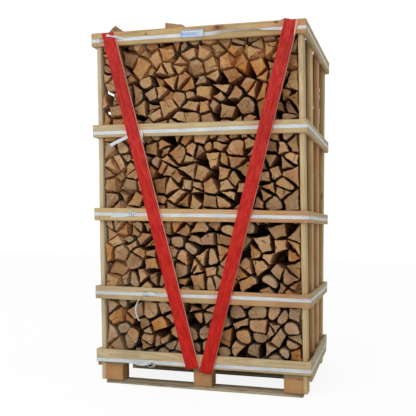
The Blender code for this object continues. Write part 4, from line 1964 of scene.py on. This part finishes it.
# %% Logs at the walls
SPACE_LOW, SPACE_HIGH = upright_box("firewood_front")
WALL_X = SPACE_HIGH[0] - 0.001
WALL_LOW = SPACE_LOW[2]
HIGHEST_TIP = SPACE_HIGH[2]
SWELL_ABOVE = 1.80
LOOSE_STRETCHES = ((1.47, 1.60), (1.62, 1.80))
WALL_REACH = 0.012
SWELL_REACH = 0.100


def must_swell(share, rank):
    """Whether a log in this share has to keep the daylight out."""
    low, high = np.min(share, 0), np.max(share, 0)
    height = (low[1] + high[1]) / 2
    is_loose = any(foot < height < top for foot, top in LOOSE_STRETCHES)
    at_left_wall = low[0] < SWELL_REACH - WALL_X and not is_loose
    return rank == "middle" or high[1] > SWELL_ABOVE or at_left_wall


def barked_at_walls(outline, has_bark):
    """The bark flags, with every side that lies against a side wall barked as well."""
    flags = []
    for ((x, _), (next_x, _)), flag in zip(sides_of(outline), has_bark):
        flags.append(flag or min(abs(x), abs(next_x)) > WALL_X - WALL_REACH)
    return flags


print("the space for logs is", round(2 * WALL_X, 3), "m wide")

# %% [markdown]
# Filling a rank puts this together. Big shares are split in two, as big logs are. Every log is
# drawn in a little from its share, and a few logs are left out, which leaves the dark holes.
# Low down there are more round logs, higher up more plain split ones.

# %% Filling a rank
PILE_TOP = 1.952
LOG_KINDS = (  # height, share of round logs, share of logs with split sides only
    (0.35, 0.52, 0.10),
    (0.55, 0.08, 0.34),
    (1.15, 0.04, 0.50),
    (1.70, 0.04, 0.55),
)
BIG_AREA, BIG_SPLIT = 0.0090, 0.70
FAIR_AREA, FAIR_SPLIT = 0.0048, 0.22
SMALLEST_AREA, LEFT_OUT = 0.0010, 0.02
CROWN_BLUNTING = 0.003
TOP_SPREAD, TOP_SLANT, SPLIT_SLANT = (-0.004, 0.014), 0.15, 0.45
GAPS, GAP_OF_SWOLLEN = (0.0002, 0.0018), 0.0003


def fill_rank(rank, crown, source):
    """The outline and the bark flags of every log in a rank, and the share that it must fill."""
    heights, round_shares, split_shares = zip(*LOG_KINDS)
    bounds = (-WALL_X, WALL_X, WALL_LOW, PILE_TOP)
    logs = []
    for outline, round_top in crown:
        logs.append((*blunted(outline, [round_top] * len(outline), CROWN_BLUNTING), None))
    for share in scattered_shares(bounds, source):
        if len(share) < 3:
            continue
        x = area_and_middle(share)[1][0]
        top = PILE_TOP + source.uniform(*TOP_SPREAD)
        share = trimmed(share, (x, top), (source.normal(0, TOP_SLANT), 1))
        share = clear_of(share, crown)
        if len(share) < 3:
            continue
        area, (x, z) = area_and_middle(share)
        pieces = [share]
        is_split = area > BIG_AREA and source.random() < BIG_SPLIT
        if is_split or area > FAIR_AREA and source.random() < FAIR_SPLIT:
            spread = np.cov((np.array(share) - (x, z)).T)
            longest = np.linalg.eigh(spread)[1][:, 1]
            angle = math.atan2(longest[1], longest[0]) + source.normal(0, SPLIT_SLANT)
            cut = (math.cos(angle), math.sin(angle))
            pieces = [trimmed(share, (x, z), cut), trimmed(share, (x, z), (-cut[0], -cut[1]))]
        for piece in pieces:
            if len(piece) < 3:
                continue
            swells = must_swell(piece, rank)
            to_fill = shrunk(piece, GAP_OF_SWOLLEN) if swells else None
            if source.random() < LEFT_OUT and not swells:
                continue
            piece = shrunk(piece, source.uniform(*GAPS))
            smallest = SMALLEST_AREA * (0.3 if swells else 1.0)
            if len(piece) < 3 or area_and_middle(piece)[0] < smallest:
                continue
            outline, has_bark = log_outline(
                piece, source, np.interp(z, heights, round_shares),
                np.interp(z, heights, split_shares),
            )
            logs.append((outline, barked_at_walls(outline, has_bark), to_fill))
    return logs


# %% [markdown]
# An outline has few points as yet. More are added round it, on sides that bow in a little and
# ripple, as torn wood does, and every point is roughened. The pith, round which the year rings
# run, is where the bark's curve is centred, or somewhere outside a split log.

# %% Rough outline and pith
LOG_STEP = 0.010
BARK_ROUGH, SPLIT_ROUGH = 0.0024, 0.0018
BOWS = (-0.02, 0.055)  # inwards, as a share of the side's length
RIPPLE, RIPPLE_STEP = 0.0020, 0.007
ROUND_OFFSET, BARK_RADII, SPLIT_RADII = 0.006, (0.055, 0.095), (0.04, 0.11)


def finer_outline(outline, has_bark, source):
    """Points every centimetre or so round an outline, roughened, with their bark flags."""
    points, flags = [], []
    for index, here in enumerate(outline):
        here, there = np.array(here), np.array(outline[(index + 1) % len(outline)])
        length = math.dist(here, there)
        inward = np.array((here[1] - there[1], there[0] - here[0])) / max(length, 1e-6)
        bow = source.uniform(*BOWS) * length if not has_bark[index] else 0.0
        ripple, phase = source.uniform(0.0, RIPPLE), source.uniform(0, 6.3)
        pieces = max(1, round(length / LOG_STEP))
        for step in range(pieces):
            part = step / pieces
            sunk = bow * 4 * part * (1 - part)
            sunk += ripple * (1 + math.sin(phase + part * length / RIPPLE_STEP)) * min(1, 4 * part)
            points.append(here + (there - here) * part + inward * sunk)
            flags.append(has_bark[index])
    points, flags = np.array(points), np.array(flags)
    arms = points - points.mean(0)
    lengths = np.linalg.norm(arms, axis=1)
    rough = source.uniform(0, 1, len(points)) * np.where(flags, BARK_ROUGH, SPLIT_ROUGH)
    return points - arms * (rough / lengths)[:, None], flags


def find_pith(points, flags, source):
    """Where the year rings of this log are centred."""
    middle = points.mean(0)
    if flags.all():
        return middle + source.normal(0, ROUND_OFFSET, 2)
    if flags.any():
        crest = points[flags][flags.sum() // 2]
        away = middle - crest
        return crest + away / np.linalg.norm(away) * source.uniform(*BARK_RADII)
    angle = source.uniform(0, 2 * math.pi)
    return middle + np.array((math.cos(angle), math.sin(angle))) * source.uniform(*SPLIT_RADII)


print("outlines get a point every", LOG_STEP * 1000, "mm")

# %% [markdown]
# A log's body is a row of rings from its front end to its back end, each ring a slightly
# changed copy of its outline: it tapers, bends and twists a little, and both ends are sawn a
# few degrees off square. Smaller rings at each end make a bevel and the cut edge of the bark.
# A log that must fill its share has its middle rings stretched out to the share's sides. The
# rings are clipped to the space between the slats, so nothing reaches through them.

# %% Body of a log
RIM, BEVEL = 0.0045, 0.0016
SAW_TILT, STEEPEST = 0.07, 0.15
LOG_TAPER, LOG_TWIST, LOG_BEND, SWELLING = 0.05, 0.03, 0.0018, 0.025
LOG_RINGS = (  # how far along, metres more than that, how much smaller, how far stretched
    (0, 0, RIM, 0),
    (0, 0, BEVEL, 0),
    (0, 0.003, 0, 0),
    (0.06, 0, 0, 0.5),
    (0.12, 0, 0, 1),
    (0.6, 0, 0, 1),
    (0.85, 0, 0, 0.8),
    (1, -0.003, 0, 0),
    (1, 0, BEVEL, 0),
    (1, 0, RIM, 0),
)


def stretched(arms, middle, share):
    """Arms from the middle of a log made just long enough to reach the sides of a share."""
    reach = np.full(len(arms), np.inf)
    for (x, z), (next_x, next_z) in sides_of(share):
        outward = np.array((next_z - z, x - next_x))
        slope = arms @ outward
        gap = (np.array((x, z)) - middle) @ outward
        reach = np.where(slope > 1e-9, np.minimum(reach, gap / np.maximum(slope, 1e-9)), reach)
    return arms * reach[:, None]


def log_body(outline, has_bark, to_fill, y_front, y_back, source):
    """Rings of points and the numbers that its materials read."""
    ring, flags = finer_outline(outline, has_bark, source)
    middle = ring.mean(0)
    arms = ring - middle
    lengths = np.linalg.norm(arms, axis=1)[:, None]
    full_arms = stretched(arms, middle, to_fill) if to_fill else arms
    tilts = source.normal(0, SAW_TILT, 4).clip(-STEEPEST, STEEPEST)
    front = y_front + arms @ tilts[:2] + abs(arms @ tilts[:2]).max()
    back = y_back + arms @ tilts[2:] - abs(arms @ tilts[2:]).max()
    taper, twist = source.uniform(-LOG_TAPER, LOG_TAPER), source.normal(0, LOG_TWIST)
    bend = source.normal(0, LOG_BEND, 2)
    points = []
    for share, past, inset, fullness in LOG_RINGS:
        y = front * (1 - share) + back * share + past
        swelling = source.uniform(0.0, SWELLING) if fullness else 0.0
        scale = 0.99 - abs(taper) / 2 + taper * (share - 0.5) + swelling
        reach = arms * (scale - inset / lengths)
        angle = twist * (share - 0.5)
        turned_reach = np.stack((
            reach[:, 0] * math.cos(angle) - reach[:, 1] * math.sin(angle),
            reach[:, 0] * math.sin(angle) + reach[:, 1] * math.cos(angle),
        ), axis=1)
        spot = middle + turned_reach + bend * math.sin(math.pi * share)
        if to_fill:
            spot = spot * (1 - fullness) + (middle + full_arms) * fullness
        spot = spot.clip((-WALL_X, WALL_LOW), (WALL_X, HIGHEST_TIP))
        points.append(np.column_stack((spot[:, 0], y, spot[:, 1])))
    points = np.concatenate(points)
    pith = find_pith(ring, flags, source)
    along = source.uniform(0, 60)
    grain = np.stack((points[:, 1] + along, points[:, 0] - pith[0], points[:, 2] - pith[1]), axis=1)
    return points, flags, grain


print("a log has", len(LOG_RINGS), "rings")

# %% [markdown]
# Faces follow the rings: bark on the barked sides, split wood on the others, and sawn wood on
# the ends.

# %% Faces of a log
LOG_END, LOG_SPLIT, LOG_BARK = 0, 1, 2


def log_faces(flags):
    """Faces, their materials and which of them are flat, for one log."""
    rows, columns = len(LOG_RINGS), len(flags)
    faces = tube_faces(rows, columns)
    materials, flat = [], []
    for index in range(len(faces)):
        row, column = divmod(index, columns)
        on_end = row in (0, rows - 2)
        side = LOG_BARK if flags[column] else LOG_SPLIT
        materials.append(LOG_END if on_end and side == LOG_SPLIT else side)
        flat.append(on_end)
    faces += end_caps(rows, columns)
    return faces, materials + [LOG_END] * 2, flat + [True] * 2


print("a log with 20 points to a ring has", len(log_faces([True] * 20)[0]), "faces")

# %% [markdown]
# All the logs between two rails become one piece, so the crate has twelve pieces of firewood
# and not a thousand, and no mesh gets too heavy. Each log has a look of its own: most are dry
# and pale brown, and a few are fresh and orange. Some lie deeper in the pile than the others.

# %% A tier of logs
DEEP, FRESH = 0.16, 0.09
END_GAP, SLACK = 0.001, 0.018
DEEP_RECESS = (0.020, 0.050)
TIER_WEATHERING = (0.26, 0.14, 0.08, 0.10)
TIER_LIGHTNESS = (0.02, 0.05, 0.0, 0.0)


def add_tier(name, number, logs, y_low, y_high, source):
    """One piece of firewood from many logs."""
    layers, faces, materials, flat = [], [], [], []
    shift = 0
    for outline, has_bark, to_fill in logs:
        is_deep = source.random() < DEEP
        recess = source.uniform(*DEEP_RECESS) if is_deep else source.uniform(0.0, SLACK)
        y_front = y_low + END_GAP + recess
        y_back = y_high - END_GAP - source.uniform(0.0, SLACK)
        body, flags, grain = log_body(outline, has_bark, to_fill, y_front, y_back, source)
        its_faces, its_materials, its_flat = log_faces(flags)
        is_fresh = source.random() < FRESH
        warmth = source.uniform(0.75, 1.0) if is_fresh else source.beta(1.6, 4.0)
        weathering = TIER_WEATHERING[number - 1] + source.uniform(-0.15, 0.15)
        lightness = source.uniform(0.0, 0.8 if is_fresh else 1.0) + TIER_LIGHTNESS[number - 1]
        look = (lightness, warmth, 0.0 if is_fresh else max(weathering, 0.0))
        arris = np.zeros((len(body), 3))
        rim = 3 * len(flags)
        arris[:rim] = arris[-rim:] = np.tile(flags, 3)[:, None]
        layers.append((body, grain, np.tile(look, (len(body), 1)), arris))
        faces += shifted(its_faces, shift)
        materials += its_materials
        flat += its_flat
        shift += len(body)
    points, grain, look, arris = (np.concatenate(layer) for layer in zip(*layers))
    piece = make_piece(
        name, points, faces, (log_end, log_split, bark), materials,
        {"grain": grain, "look": look, "arris": arris}, flat, crease=38,
    )
    return piece


print("fresh logs:", round(FRESH * 100), "in a hundred; deep ones:", round(DEEP * 100))

# %% [markdown]
# The three ranks differ in their seed. Only the front rank is seen well, so a few seeds were
# compared for it, and the other two were left as they came. A tier ends halfway up a rail,
# where the join can't be seen.

# %% Ranks and tiers
HALF_RAIL = 0.035
TIER_EDGES = [upright_box(f"front_rail_{n}")[0][2] + HALF_RAIL for n in (2, 3, 4)]
RANKS = (("front", FRONT_CROWN, 14), ("middle", MIDDLE_CROWN, 22), ("back", BACK_CROWN, 33))
for rank, crown, seed in RANKS:
    source = np.random.default_rng(seed)
    low, high = upright_box(f"firewood_{rank}")
    tiers = [[], [], [], []]
    for log in fill_rank(rank, crown, source):
        height = np.mean([z for _, z in log[0]])
        tiers[int(np.searchsorted(TIER_EDGES, height))].append(log)
    for number, logs in enumerate(tiers, start=1):
        tier = add_tier(f"logs_{rank}_{number}", number, logs, low[1], high[1], source)
        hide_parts(f"firewood_{rank}")
    print(rank, "rank:", [len(logs) for logs in tiers], "logs")
